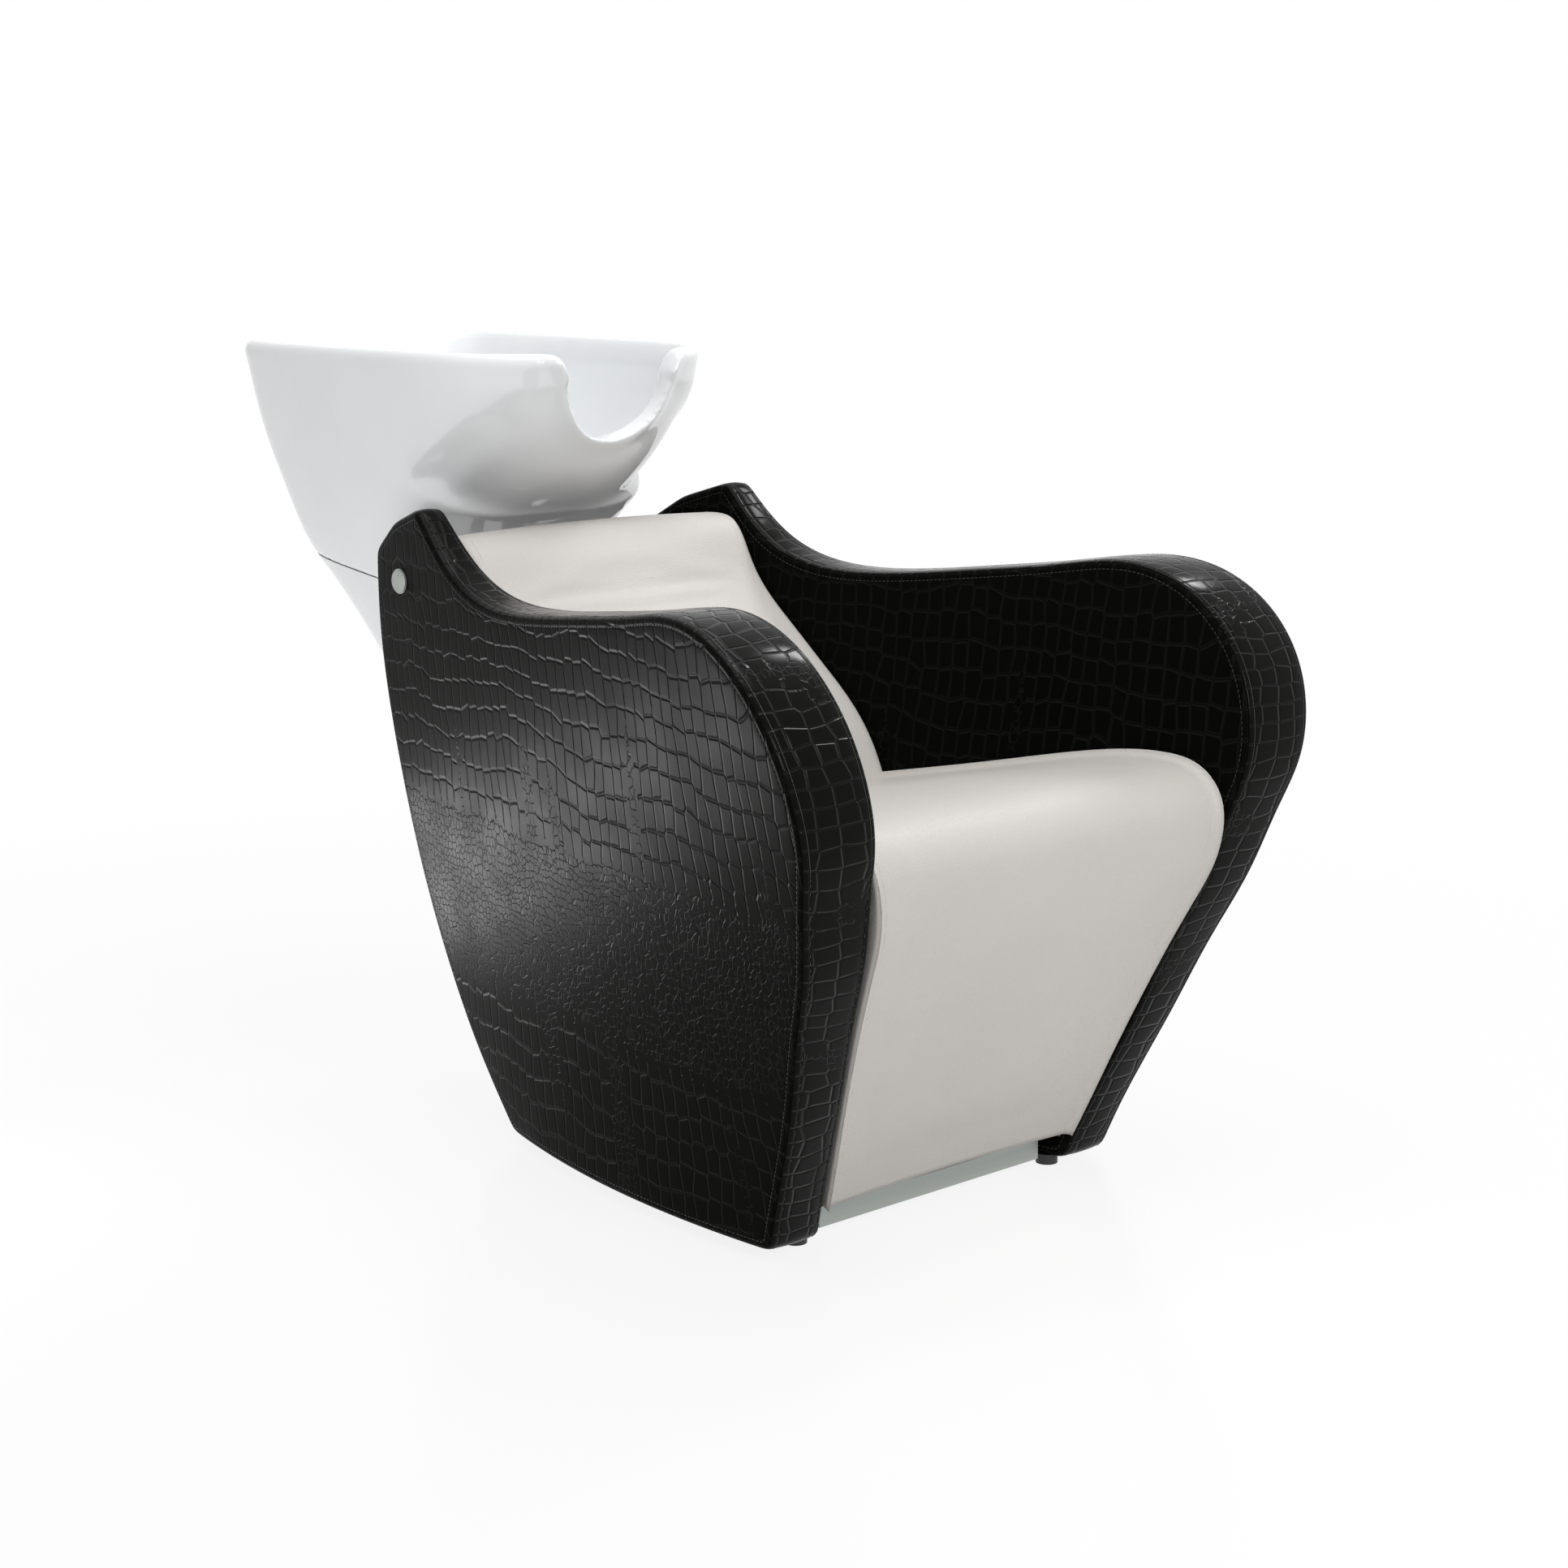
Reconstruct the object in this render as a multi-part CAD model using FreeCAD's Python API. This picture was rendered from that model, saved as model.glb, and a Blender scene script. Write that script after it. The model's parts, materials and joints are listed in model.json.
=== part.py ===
import FreeCAD, Part
import math
import os

# Salon wash unit: reclined chair with upholstered side panels and a tilting ceramic basin.
# Millimetres, +Z up, the chair faces -Y, +X is the sitter's left.

V = FreeCAD.Vector
os.makedirs("parts", exist_ok=True)

# Fits
TOUCH_GAP = 0.3
RUN_GAP = 0.05
BOLT_GAP = 0.5
SOFT_GAP = 4.0
CREASE_GAP = 1.0
STOP_GAP = 0.4

# Side panel: outline in the YZ plane, given as shares of depth and height
PANEL_FRONT = -360.0
PANEL_DEPTH = 945.0
PANEL_HEIGHT = 755.0
PANEL_BOTTOM = 12.0
PANEL_REAR = PANEL_FRONT + PANEL_DEPTH
TOP_SHARES = [
    (0.843, 1.000), (0.807, 0.955), (0.758, 0.910), (0.691, 0.881), (0.589, 0.875), (0.439, 0.894),
    (0.296, 0.918), (0.201, 0.931), (0.141, 0.918), (0.081, 0.878), (0.032, 0.812), (0.003, 0.725),
    (0.000, 0.645), (0.017, 0.570), (0.040, 0.472), (0.075, 0.370), (0.112, 0.252), (0.169, 0.086)]
FRONT_FOOT_SHARE = 0.190
REAR_FOOT_SHARE = 0.735
REAR_SHARES = [
    (0.825, 0.132), (0.894, 0.265), (0.942, 0.397), (0.974, 0.530), (0.995, 0.662), (1.000, 0.795),
    (0.984, 0.921)]
BEVEL_SHARE = (0.921, 0.970)

# Side panel: levels of the outer face, each with front y and x, outward bow, rear y and x
LEVEL_LOW = (-5.0, -200.0, 248.0, 36.0, 345.0, 191.0)
LEVEL_KNEE = (250.0, -285.0, 314.0, 25.0, 520.0, 187.0)
LEVEL_SEAT = (500.0, -370.0, 390.0, 12.0, 590.0, 200.0)
LEVEL_TOP = (780.0, -400.0, 454.0, 2.0, 600.0, 226.0)
LEVELS = (LEVEL_LOW, LEVEL_KNEE, LEVEL_SEAT, LEVEL_TOP)
LEVEL_REACH = 60.0
INNER_X = 191.0
INNER_LEAN = 0.145
INNER_TOE = 0.130
INNER_Y = -178.0
OUTER_PAD = 8.0
INNER_PAD = 6.0
BAND_PAD = 8.0

# Seat cushion: outline of its upper skin, its thickness and its crown
SEAT_REAR = (164.0, 408.0)
SEAT_SKIN = [(-36.0, 447.0), (-143.0, 469.0), (-208.0, 479.0), (-262.0, 481.0), (-303.0, 472.0),
             (-326.0, 448.0), (-331.0, 418.0), (-325.0, 385.0), (-310.0, 350.0), (-281.0, 288.0),
             (-257.0, 232.0), (-230.0, 165.0), (-200.0, 86.0)]
SEAT_FOOT = (-185.0, 48.0)
SEAT_PAD = 80.0
APRON_PAD = 38.0
SEAT_CROWN = 10.0
SEAT_SLOPE = 11.0
SEAT_HALF = 290.0
BOARD = 18.0
FRONT_BOARD = 12.0

# Cross tube behind the back, its bolts and caps
CROSS_IN = 88.0
CROSS_DOWN = 91.0
CROSS_Y = PANEL_REAR - CROSS_IN
CROSS_Z = PANEL_HEIGHT - CROSS_DOWN
CROSS_R = 12.5
CAP_R = 15.0
CAP_THICK = 3.0
CAP_RIM = 1.2
CROSS_BOLT_R = 5.0
CROSS_BOLT_LONG = 58.0
HEAD_R = 9.0
HEAD_TALL = 5.0

# Back cushion: set on an inclined line, offsets measured square to it
BACK_FOOT = (121.0, 417.0)
BACK_RISE = 44.5
BACK_PAD = 54.0
BACK_CLEAR = 7.6
BACK_TOP_Y = CROSS_Y - CROSS_R - BACK_CLEAR - BACK_PAD * math.sin(math.radians(BACK_RISE))
BACK_LENGTH = (BACK_TOP_Y - BACK_FOOT[0]) / math.cos(math.radians(BACK_RISE))
BACK_CROWN = 9.0
BACK_SKIN_SHARES = [(0.09, 0.22), (0.23, 0.36), (0.40, 0.26), (0.57, 0.08), (0.78, -0.10), (0.93, -0.10)]
BACK_NOSE = 20.0
BACK_BOARD = 15.0
BACK_TRIM = 14.0
BACK_START = 40.0

# Kick plate and glides
KICK_HALF = 175.0
KICK_FRONT = -160.0
KICK_TOP = 35.5
KICK_LOW = 12.0
SHEET = 2.0
KICK_RETURN = 52.0
KICK_SCREW_IN = 12.0
KICK_SCREW_LONG = 14.0
GLIDE_RADIUS = 13.0
GLIDE_FRONT_Y = -150.0
GLIDE_REAR_IN = 300.0
GLIDE_REAR_Y = PANEL_REAR - GLIDE_REAR_IN
GLIDE_OUT = 214.0

# Base frame
RAIL_X = 88.0
RAIL_WIDE = 40.0
RAIL_TALL = 30.0
RAIL_LOW = 14.0
RAIL_FRONT = -132.0
TUBE = 40.0
FRONT_POST_Y = -120.0
REAR_POST_IN = 189.0
REAR_POST_Y = PANEL_REAR - REAR_POST_IN
RAIL_REAR = REAR_POST_Y + TUBE
POST_TOP = 585.0
PLATE = 8.0
PLATE_HALF = 110.0
PLATE_LOW = 470.0
FOOT_TAB = 46.0
FLOOR_BOLT_R = 5.5
TAB_PLATE = 6.0
ARM_TALL = 40.0
ARM_DEEP = 50.0
ARM_REACH = 320.0
ARM_FRONT_Y = -60.0
ARM_FRONT_Z = 232.0
ARM_REAR_IN = 213.0
ARM_REAR_Y = PANEL_REAR - ARM_REAR_IN
ARM_REAR_Z = 330.0

# Rear cover
# Points of its line: distance in from the panels' rear, and height
REAR_INSETS = [(64.0, 700.0), (61.0, 640.0), (75.0, 480.0), (95.0, 330.0), (119.0, 170.0), (145.0, 20.0)]
REAR_LINE = [(PANEL_REAR - inset, z) for inset, z in REAR_INSETS]
FLANGE_LONG = 66.0
REAR_WINDOW_HALF = 84.0
REAR_WINDOW_LOW = 455.0
REAR_WINDOW_TOP = 640.0

# Basin: sections, each with height, front y and rear y from the panels' rear, and half width
RIM_CREST = (932.0, -212.0, 357.0, 195.0)
RIM_EDGE = (928.0, -217.0, 362.0, 200.0)
RIM = (919.0, -220.0, 365.0, 203.0)
RIM_LOW = (890.0, -213.0, 355.0, 201.0)
LIP = (840.0, -197.0, 339.0, 197.0)
CHEST = (790.0, -160.0, 315.0, 192.0)
WAIST = (725.0, -77.0, 278.0, 182.0)
SPLIT = (643.0, -45.0, 224.0, 158.0)
SKIRT = (560.0, -32.0, 170.0, 126.0)
HEEL = (486.0, -29.0, 152.0, 92.0)
CROWN_LEVELS = (RIM_CREST, RIM_EDGE, RIM)
UPPER_LEVELS = (RIM, RIM_LOW, LIP, CHEST, WAIST, SPLIT)
LOWER_LEVELS = (SPLIT, SKIRT, HEEL)
PLAN_SHARES = [(0.0, 0.0), (0.42, 0.012), (0.75, 0.075), (0.92, 0.165), (0.985, 0.28), (1.0, 0.42),
               (1.0, 0.58), (0.99, 0.74), (0.965, 0.85), (0.90, 0.935), (0.76, 0.98), (0.45, 0.996)]
WALL = 13.0
BOWL_TOP = (940.0, -211.0, 356.0, 194.0)
BOWL_EDGE = (927.0, -202.0, 347.0, 185.0)
BOWL_HIGH = (900.0, -195.0, 339.0, 182.0)
BOWL_MID = (830.0, -157.0, 315.0, 172.0)
BOWL_LOW = (765.0, -45.0, 267.0, 142.0)
BOWL_FLOOR = (722.0, 25.0, 221.0, 84.0)
BOWL_CROWN = (BOWL_TOP, BOWL_EDGE, BOWL_HIGH)
BOWL_LEVELS = (BOWL_HIGH, BOWL_MID, BOWL_LOW, BOWL_FLOOR)
SPLIT_BACK = 255.0
SPLIT_Y = PANEL_REAR + SPLIT_BACK
SPLIT_Z = 668.0
SPLIT_SLOPE = -7.7
NOTCH_R = 76.0
NOTCH_FLARE = 20.0
NOTCH_Z = 902.0
NOTCH_DEEP = 150.0

# Shoulder scoops: a wedge from the tip forward, down to a narrower neck
SCOOP_TIP_IN = 23.0
SCOOP_TIP_Y = PANEL_REAR - SCOOP_TIP_IN
SCOOP_TIP_Z = 780.0
SCOOP_LONG = 330.0
SCOOP_RISE_SHARE = 0.62
SCOOP_FALL_SHARE = 0.80
NECK_SHARES = (0.99, 0.96, 0.89, 0.83, 0.80, 0.80)
NECK_IN = 3.0

# Lower cover
COVER_WALL = 4.0
COVER_WINDOW_HALF = 80.0
COVER_WINDOW_TOP = 656.0
HOSE_HOLE_R = 32.0

# Waste
DRAIN_BACK = 109.0
DRAIN_Y = PANEL_REAR + DRAIN_BACK
FLANGE_R = 36.0
FLANGE_TALL = 4.0
WASTE_R = 23.5
WASTE_BORE = 19.55
DRAIN_R = 25.0
SEAL_TALL = 3.0
NUT_R = 35.0
NUT_TALL = 12.0
TAIL_R = 20.0
SPIGOT_R = 19.5
TAIL_BORE = 18.0
TAIL_LOW = 585.0
STRAINER_R = 19.0
STRAINER_BRIM_R = 24.0
STRAINER_TALL = 16.0
STRAINER_WALL = 1.2
STRAINER_HOLE_R = 2.2
STRAINER_RING_R = 11.0
STRAINER_HOLES = 8

# Tilt hinge
PIVOT_BACK = 21.0
PIVOT_Y = PANEL_REAR + PIVOT_BACK
PIVOT_Z = 578.0
PIN_R = 8.0
CHEEK = 6.0
BRACKET_HALF = 78.0
BRACKET_LOW = 482.0
BRACKET_BOLT_X = 62.0
BRACKET_BOLT_EDGE = 16.0
LUG = 6.0
LUG_X = 30.0
LUG_DEEP = 54.0
LUG_REAR = PIVOT_Y + LUG_DEEP
WASHER = 2.5
PIN_HEAD_R = 12.0
PIN_HEAD = 5.0
BUSH_R = 12.0
BUSH_COLLAR_R = 17.0
BUSH_COLLAR = 3.0
LUG_R = 22.0
CHEEK_R = 20.0
CARRIER_PLATE = 6.0
CARRIER_BOLT_R = 4.0
CARRIER_BOLT_X = 60.0
CARRIER_BOLT_EDGE = 18.0
CARRIER_BOLT_LONG = 30.0
WING_BACK = 42.0
WING_Y = PIVOT_Y + WING_BACK
WING_DEEP = 40.0
GASKET = 4.0
LEVER_LONG = 118.0
LEVER_HUB_R = 14.0
LEVER_HUB = 14.0
LEVER_NUT = 8.0
LEVER_X = 56.6
LEVER_ARM_R = 5.0
LEVER_KNOB_R = 11.0
LEVER_SWEEP = 66.0
LEVER_SLOT_REAR = PIVOT_Y + LEVER_SWEEP
STOP_R = 8.0
ROD_R = 5.0
STOP_UP = 22.0
STOP_Y = PIVOT_Y - LUG_R - STOP_R - STOP_GAP
STOP_Z = PIVOT_Z + STOP_UP
BRACKET_BOLT_R = 5.0
SCREW_R = 3.0
SCREW_SHARES = (0.2, 0.8)
PANEL_BOLT_R = 4.0
PANEL_BOLT_LONG = 34.0
PANEL_BOLT_GRIP = 14.0
PANEL_BOLT_HEAD = 7.0

# Solid pad under the basin for the carrier, and the top of the hollow round it
PAD_HALF = 74.0
PAD_AHEAD = 34.0
PAD_BACK = 191.0
PAD_FRONT = PIVOT_Y - PAD_AHEAD
PAD_REAR = PANEL_REAR + PAD_BACK
HOLLOW_TOP = 832.0

# Reach of the cutting tools, larger than what they cut, and steps along curves
PANEL_WIDE = 600.0
WEDGE_LOW = -10.0
WEDGE_TOP = 800.0
BIG = 900.0
INSET_STEPS = 40
STATION_SHARES = (-1.0, -0.5, 0.0, 0.5, 1.0)


def box(x0, x1, y0, y1, z0, z1):
    return Part.makeBox(x1 - x0, y1 - y0, z1 - z0, V(x0, y0, z0))


def cyl(radius, length, start, aim):
    return Part.makeCylinder(radius, length, start, aim)


def tube(outer, inner, length, start, aim):
    return cyl(outer, length, start, aim).cut(cyl(inner, length, start, aim))


def fuse(shapes):
    body = shapes[0]
    for extra in shapes[1:]:
        body = body.fuse(extra)
    return body.removeSplitter()


def mirrored(shape):
    return shape.mirror(V(0, 0, 0), V(1, 0, 0))


def both_sides(shape):
    return [shape, mirrored(shape)]


def spline(points):
    curve = Part.BSplineCurve()
    curve.interpolate(points)
    return curve.toShape()


def at_share(share):
    return V(0, PANEL_FRONT + PANEL_DEPTH * share[0], PANEL_HEIGHT * share[1])


def prism(wire, x0, x1):
    shape = wire.copy()
    shape.translate(V(x0, 0, 0))
    return Part.Face(shape).extrude(V(x1 - x0, 0, 0))


# Side panels
def panel_edges():
    front_foot = V(0, PANEL_FRONT + PANEL_DEPTH * FRONT_FOOT_SHARE, PANEL_BOTTOM)
    rear_foot = V(0, PANEL_FRONT + PANEL_DEPTH * REAR_FOOT_SHARE, PANEL_BOTTOM)
    top = [at_share(share) for share in TOP_SHARES] + [front_foot]
    rear = [rear_foot] + [at_share(share) for share in REAR_SHARES]
    bevel = at_share(BEVEL_SHARE)
    return [
        spline(top),
        Part.LineSegment(front_foot, rear_foot).toShape(),
        spline(rear),
        Part.LineSegment(rear[-1], bevel).toShape(),
        Part.LineSegment(bevel, top[0]).toShape()]


def inward(edge, where):
    aim = edge.tangentAt(where)
    return V(0, -aim.z, aim.y)


def inset_edges(edges, inset):
    corners = []
    for before, edge in zip(edges[-1:] + edges[:-1], edges):
        first = inward(before, before.LastParameter)
        second = inward(edge, edge.FirstParameter)
        mitre = (first + second) * (inset / (1.0 + first.dot(second)))
        corners.append(edge.valueAt(edge.FirstParameter) + mitre)
    made = []
    for edge, start, end in zip(edges, corners, corners[1:] + corners[:1]):
        points = [start]
        for step in range(1, INSET_STEPS):
            where = edge.FirstParameter + (edge.LastParameter - edge.FirstParameter) * step / INSET_STEPS
            point = edge.valueAt(where) + inward(edge, where) * inset
            if min(point.distanceToPoint(start), point.distanceToPoint(end)) > inset * 2:
                points.append(point)
        points.append(end)
        straight = edge.Curve.TypeId.endswith("Line")
        made.append(Part.LineSegment(start, end).toShape() if straight else spline(points))
    return made


def inner_x(y, z):
    return INNER_X + INNER_LEAN * z - INNER_TOE * (y - INNER_Y)


def outer_arc(level, inset):
    z, front_y, front_x, bow, rear_y, rear_x = level
    slope = (rear_x - front_x) / (rear_y - front_y)
    start = V(front_x - inset - slope * LEVEL_REACH, front_y - LEVEL_REACH, z)
    end = V(rear_x - inset + slope * LEVEL_REACH, rear_y + LEVEL_REACH, z)
    middle = (start + end) * 0.5 + V(bow * 1.25, 0, 0)
    return start, middle, end


def slab_wire(level, outer_inset, inner_inset, use_outer):
    z = level[0]
    start, middle, end = outer_arc(level, outer_inset)
    if use_outer:
        far_start, far_middle, far_end = outer_arc(level, inner_inset)
        far = Part.Arc(far_end, far_middle, far_start).toShape()
    else:
        far_start = V(inner_x(start.y, z) + inner_inset, start.y, z)
        far_end = V(inner_x(end.y, z) + inner_inset, end.y, z)
        far = Part.LineSegment(far_end, far_start).toShape()
    near = Part.Arc(start, middle, end).toShape()
    return Part.Wire([near, Part.LineSegment(end, far_end).toShape(), far,
                      Part.LineSegment(far_start, start).toShape()])


def slab(outer_inset, inner_inset, use_outer=False):
    wires = [slab_wire(level, outer_inset, inner_inset, use_outer) for level in LEVELS]
    return Part.makeLoft(wires, True, False)


def inner_slab(near_inset, far_inset):
    wires = []
    for level in LEVELS:
        z = level[0]
        y0 = level[1] - LEVEL_REACH
        y1 = level[4] + LEVEL_REACH
        corners = [V(inner_x(y0, z) + near_inset, y0, z), V(inner_x(y1, z) + near_inset, y1, z),
                   V(inner_x(y1, z) + far_inset, y1, z), V(inner_x(y0, z) + far_inset, y0, z)]
        wires.append(Part.makePolygon(corners + corners[:1]))
    return Part.makeLoft([wires[0], wires[-1]], True, True)


outer_edges = panel_edges()
outline = Part.Wire(outer_edges)
inset_outline = Part.Wire(inset_edges(outer_edges, BAND_PAD))
core_outline = Part.Wire(inset_edges(outer_edges, BAND_PAD + TOUCH_GAP))
panel_block = prism(outline, 0, PANEL_WIDE)
inset_block = prism(inset_outline, 0, PANEL_WIDE)
core_block = prism(core_outline, 0, PANEL_WIDE)

side_outer = panel_block.common(slab(0, OUTER_PAD, True))
side_inner = panel_block.common(inner_slab(0, INNER_PAD))
middle_slab = slab(OUTER_PAD + TOUCH_GAP, INNER_PAD + TOUCH_GAP)
side_band = panel_block.cut(inset_block).common(middle_slab)
side_core = core_block.common(middle_slab)

# Everything between the panels stays inside this wedge
def wedge(clearance):
    wires = []
    for z in (WEDGE_LOW, WEDGE_TOP):
        y0 = PANEL_FRONT - LEVEL_REACH
        y1 = PANEL_FRONT + PANEL_DEPTH + LEVEL_REACH
        x0 = inner_x(y0, z) - clearance
        x1 = inner_x(y1, z) - clearance
        corners = [V(x0, y0, z), V(x1, y1, z), V(-x1, y1, z), V(-x0, y0, z)]
        wires.append(Part.makePolygon(corners + corners[:1]))
    return Part.makeLoft(wires, True, True)


soft_wedge = wedge(SOFT_GAP)
touch_wedge = wedge(0)


# Seat cushion, one waterfall piece
SEAT_TAN = math.tan(math.radians(SEAT_SLOPE))
APRON_LEAN = math.atan2(SEAT_SKIN[9][0] - SEAT_FOOT[0], SEAT_SKIN[9][1] - SEAT_FOOT[1])
SEAT_UNDER_REAR = (SEAT_REAR[0] - SEAT_PAD * math.sin(math.radians(SEAT_SLOPE)),
                   SEAT_REAR[1] - SEAT_PAD * math.cos(math.radians(SEAT_SLOPE)))
APRON_UNDER = (SEAT_FOOT[0] + APRON_PAD * math.cos(APRON_LEAN),
               SEAT_FOOT[1] - APRON_PAD * math.sin(APRON_LEAN))
lean_tan = math.tan(APRON_LEAN)
ELBOW_Z = ((SEAT_UNDER_REAR[1] + SEAT_TAN * (SEAT_UNDER_REAR[0] - APRON_UNDER[0] + lean_tan * APRON_UNDER[1]))
           / (1.0 + SEAT_TAN * lean_tan))
ELBOW = (APRON_UNDER[0] + lean_tan * (ELBOW_Z - APRON_UNDER[1]), ELBOW_Z)


def yz(point, x):
    return V(x, point[0], point[1])


def seat_wire(x):
    drop = SEAT_CROWN * (x / SEAT_HALF) ** 2
    skin = [V(x, point[0] + drop * 0.6 * (point[1] < SEAT_SKIN[4][1] - SEAT_PAD), point[1] - drop)
            for point in [SEAT_REAR] + SEAT_SKIN]
    skin.append(yz(SEAT_FOOT, x))
    return Part.Wire([
        spline(skin),
        Part.LineSegment(yz(SEAT_FOOT, x), yz(APRON_UNDER, x)).toShape(),
        Part.LineSegment(yz(APRON_UNDER, x), yz(ELBOW, x)).toShape(),
        Part.LineSegment(yz(ELBOW, x), yz(SEAT_UNDER_REAR, x)).toShape(),
        Part.LineSegment(yz(SEAT_UNDER_REAR, x), skin[0]).toShape()])


seat_wires = [seat_wire(SEAT_HALF * s) for s in STATION_SHARES]
seat_cushion = Part.makeLoft(seat_wires, True, False).common(soft_wedge)

# Back cushion
BACK_AIM = V(0, math.cos(math.radians(BACK_RISE)), math.sin(math.radians(BACK_RISE)))
BACK_OUT = V(0, -math.sin(math.radians(BACK_RISE)), math.cos(math.radians(BACK_RISE)))


def back_point(along, out, x):
    return V(x, BACK_FOOT[0], BACK_FOOT[1]) + BACK_AIM * along + BACK_OUT * out


def back_wire(x):
    drop = BACK_CROWN * (x / SEAT_HALF) ** 2
    front = [back_point(0, -drop, x)]
    front += [back_point(BACK_LENGTH * s, BACK_PAD * t - drop, x) for s, t in BACK_SKIN_SHARES]
    front.append(back_point(BACK_LENGTH, -BACK_NOSE - drop * 0.5, x))
    top_rear = back_point(BACK_LENGTH, -BACK_PAD, x)
    foot_rear = back_point(0, -BACK_PAD, x)
    return Part.Wire([
        spline(front),
        Part.LineSegment(front[-1], top_rear).toShape(),
        Part.LineSegment(top_rear, foot_rear).toShape(),
        Part.LineSegment(foot_rear, front[0]).toShape()])


back_wires = [back_wire(SEAT_HALF * s) for s in STATION_SHARES]
back_cushion = Part.makeLoft(back_wires, True, False).common(soft_wedge)
seat_zone = prism(seat_wire(0), -SEAT_HALF, SEAT_HALF)


def clear_of_seat(shape):
    """Cuts the shape back from the seat by the crease gap, above, behind and below it."""
    for aim in (V(0, 0, 0), V(0, 1, 1), V(0, 1, -1), V(0, 0, 1)):
        tool = seat_zone.copy()
        tool.translate(aim * CREASE_GAP)
        shape = shape.cut(tool)
    return shape


back_cushion = clear_of_seat(back_cushion)


# Boards behind the cushions
def band_between(points, x0, x1):
    corners = [V(0, y, z) for y, z in points]
    return prism(Part.makePolygon(corners + corners[:1]), x0, x1)


def shifted(point, aim, length):
    return (point[0] + aim.y * length, point[1] + aim.z * length)


SEAT_AIM = V(0, math.cos(math.radians(SEAT_SLOPE)), -math.sin(math.radians(SEAT_SLOPE)))
SEAT_DOWN = V(0, -math.sin(math.radians(SEAT_SLOPE)), -math.cos(math.radians(SEAT_SLOPE)))
APRON_BACK = V(0, math.cos(APRON_LEAN), -math.sin(APRON_LEAN))
board_front = shifted(ELBOW, SEAT_AIM, FRONT_BOARD * 2)
seat_board = band_between([board_front, SEAT_UNDER_REAR, shifted(SEAT_UNDER_REAR, SEAT_DOWN, BOARD),
                           shifted(board_front, SEAT_DOWN, BOARD)], -SEAT_HALF, SEAT_HALF).common(soft_wedge)
front_top = shifted(ELBOW, SEAT_DOWN, TOUCH_GAP)
front_board = band_between([front_top, APRON_UNDER, shifted(APRON_UNDER, APRON_BACK, FRONT_BOARD),
                            shifted(front_top, APRON_BACK, FRONT_BOARD)], -SEAT_HALF, SEAT_HALF)
front_board = front_board.common(soft_wedge).cut(seat_zone).cut(seat_board)


def back_block(along0, along1, out0, out1, x0, x1):
    points = [back_point(a, o, 0) for a, o in
              ((along0, out0), (along1, out0), (along1, out1), (along0, out1))]
    return band_between([(p.y, p.z) for p in points], x0, x1)


back_board = back_block(BACK_START, BACK_LENGTH - BACK_TRIM, -BACK_PAD, -BACK_PAD - BACK_BOARD,
                        -SEAT_HALF, SEAT_HALF).common(soft_wedge)

# Kick plate: folded sheet with short returns
kick_plate = fuse([
    box(-KICK_HALF, KICK_HALF, KICK_FRONT, KICK_FRONT + SHEET, KICK_LOW, KICK_TOP),
    box(-KICK_HALF, KICK_HALF, KICK_FRONT, KICK_FRONT + KICK_RETURN, KICK_LOW, KICK_LOW + SHEET)])
kick_plate = kick_plate.common(soft_wedge)

# Base frame
frame_parts = []
for side in (-1, 1):
    x0 = side * RAIL_X - RAIL_WIDE / 2
    x1 = side * RAIL_X + RAIL_WIDE / 2
    frame_parts.append(box(x0, x1, RAIL_FRONT, RAIL_REAR, RAIL_LOW, RAIL_LOW + RAIL_TALL))
    frame_parts.append(box(x0, x1, REAR_POST_Y, REAR_POST_Y + TUBE, RAIL_LOW, POST_TOP))
    bearer_top = shifted(shifted(board_front, SEAT_AIM, TUBE), SEAT_DOWN, BOARD)
    bearer_end = shifted(SEAT_UNDER_REAR, SEAT_DOWN, BOARD)
    bearer = [bearer_top, bearer_end, shifted(bearer_end, SEAT_DOWN, TUBE),
              shifted(bearer_top, SEAT_DOWN, TUBE)]
    frame_parts.append(band_between(bearer, x0, x1))
    post_top = ELBOW[1] - BOARD - TUBE
    frame_parts.append(box(x0, x1, FRONT_POST_Y, FRONT_POST_Y + TUBE, RAIL_LOW, post_top))
    frame_parts.append(back_block(-TUBE, BACK_LENGTH - BACK_TRIM * 5, -BACK_PAD - BACK_BOARD,
                                  -BACK_PAD - BACK_BOARD - TUBE * 0.75, x0, x1))
    tab_x0 = side * (RAIL_X - RAIL_WIDE / 2) - (FOOT_TAB if side > 0 else 0)
    for tab_y in (FRONT_POST_Y + TUBE, REAR_POST_Y - FOOT_TAB * 2):
        frame_parts.append(box(tab_x0, tab_x0 + FOOT_TAB, tab_y, tab_y + TAB_PLATE, 0, RAIL_LOW + RAIL_TALL))
        low_x0 = min(tab_x0, x0)
        frame_parts.append(box(low_x0, low_x0 + FOOT_TAB + RAIL_WIDE, tab_y, tab_y + FOOT_TAB, 0, TAB_PLATE))
        frame_parts.append(box(x0, x1, tab_y, tab_y + FOOT_TAB, 0, RAIL_LOW))
for y in (RAIL_FRONT, REAR_POST_Y):
    frame_parts.append(box(-RAIL_X, RAIL_X, y, y + TUBE, RAIL_LOW, RAIL_LOW + RAIL_TALL))
arms = [
    box(-ARM_REACH, ARM_REACH, ARM_FRONT_Y, ARM_FRONT_Y + ARM_DEEP, ARM_FRONT_Z, ARM_FRONT_Z + ARM_TALL),
    box(-ARM_REACH, ARM_REACH, ARM_REAR_Y, ARM_REAR_Y + ARM_DEEP, ARM_REAR_Z, ARM_REAR_Z + ARM_TALL)]
frame_parts += [arm.common(touch_wedge) for arm in arms]
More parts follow.
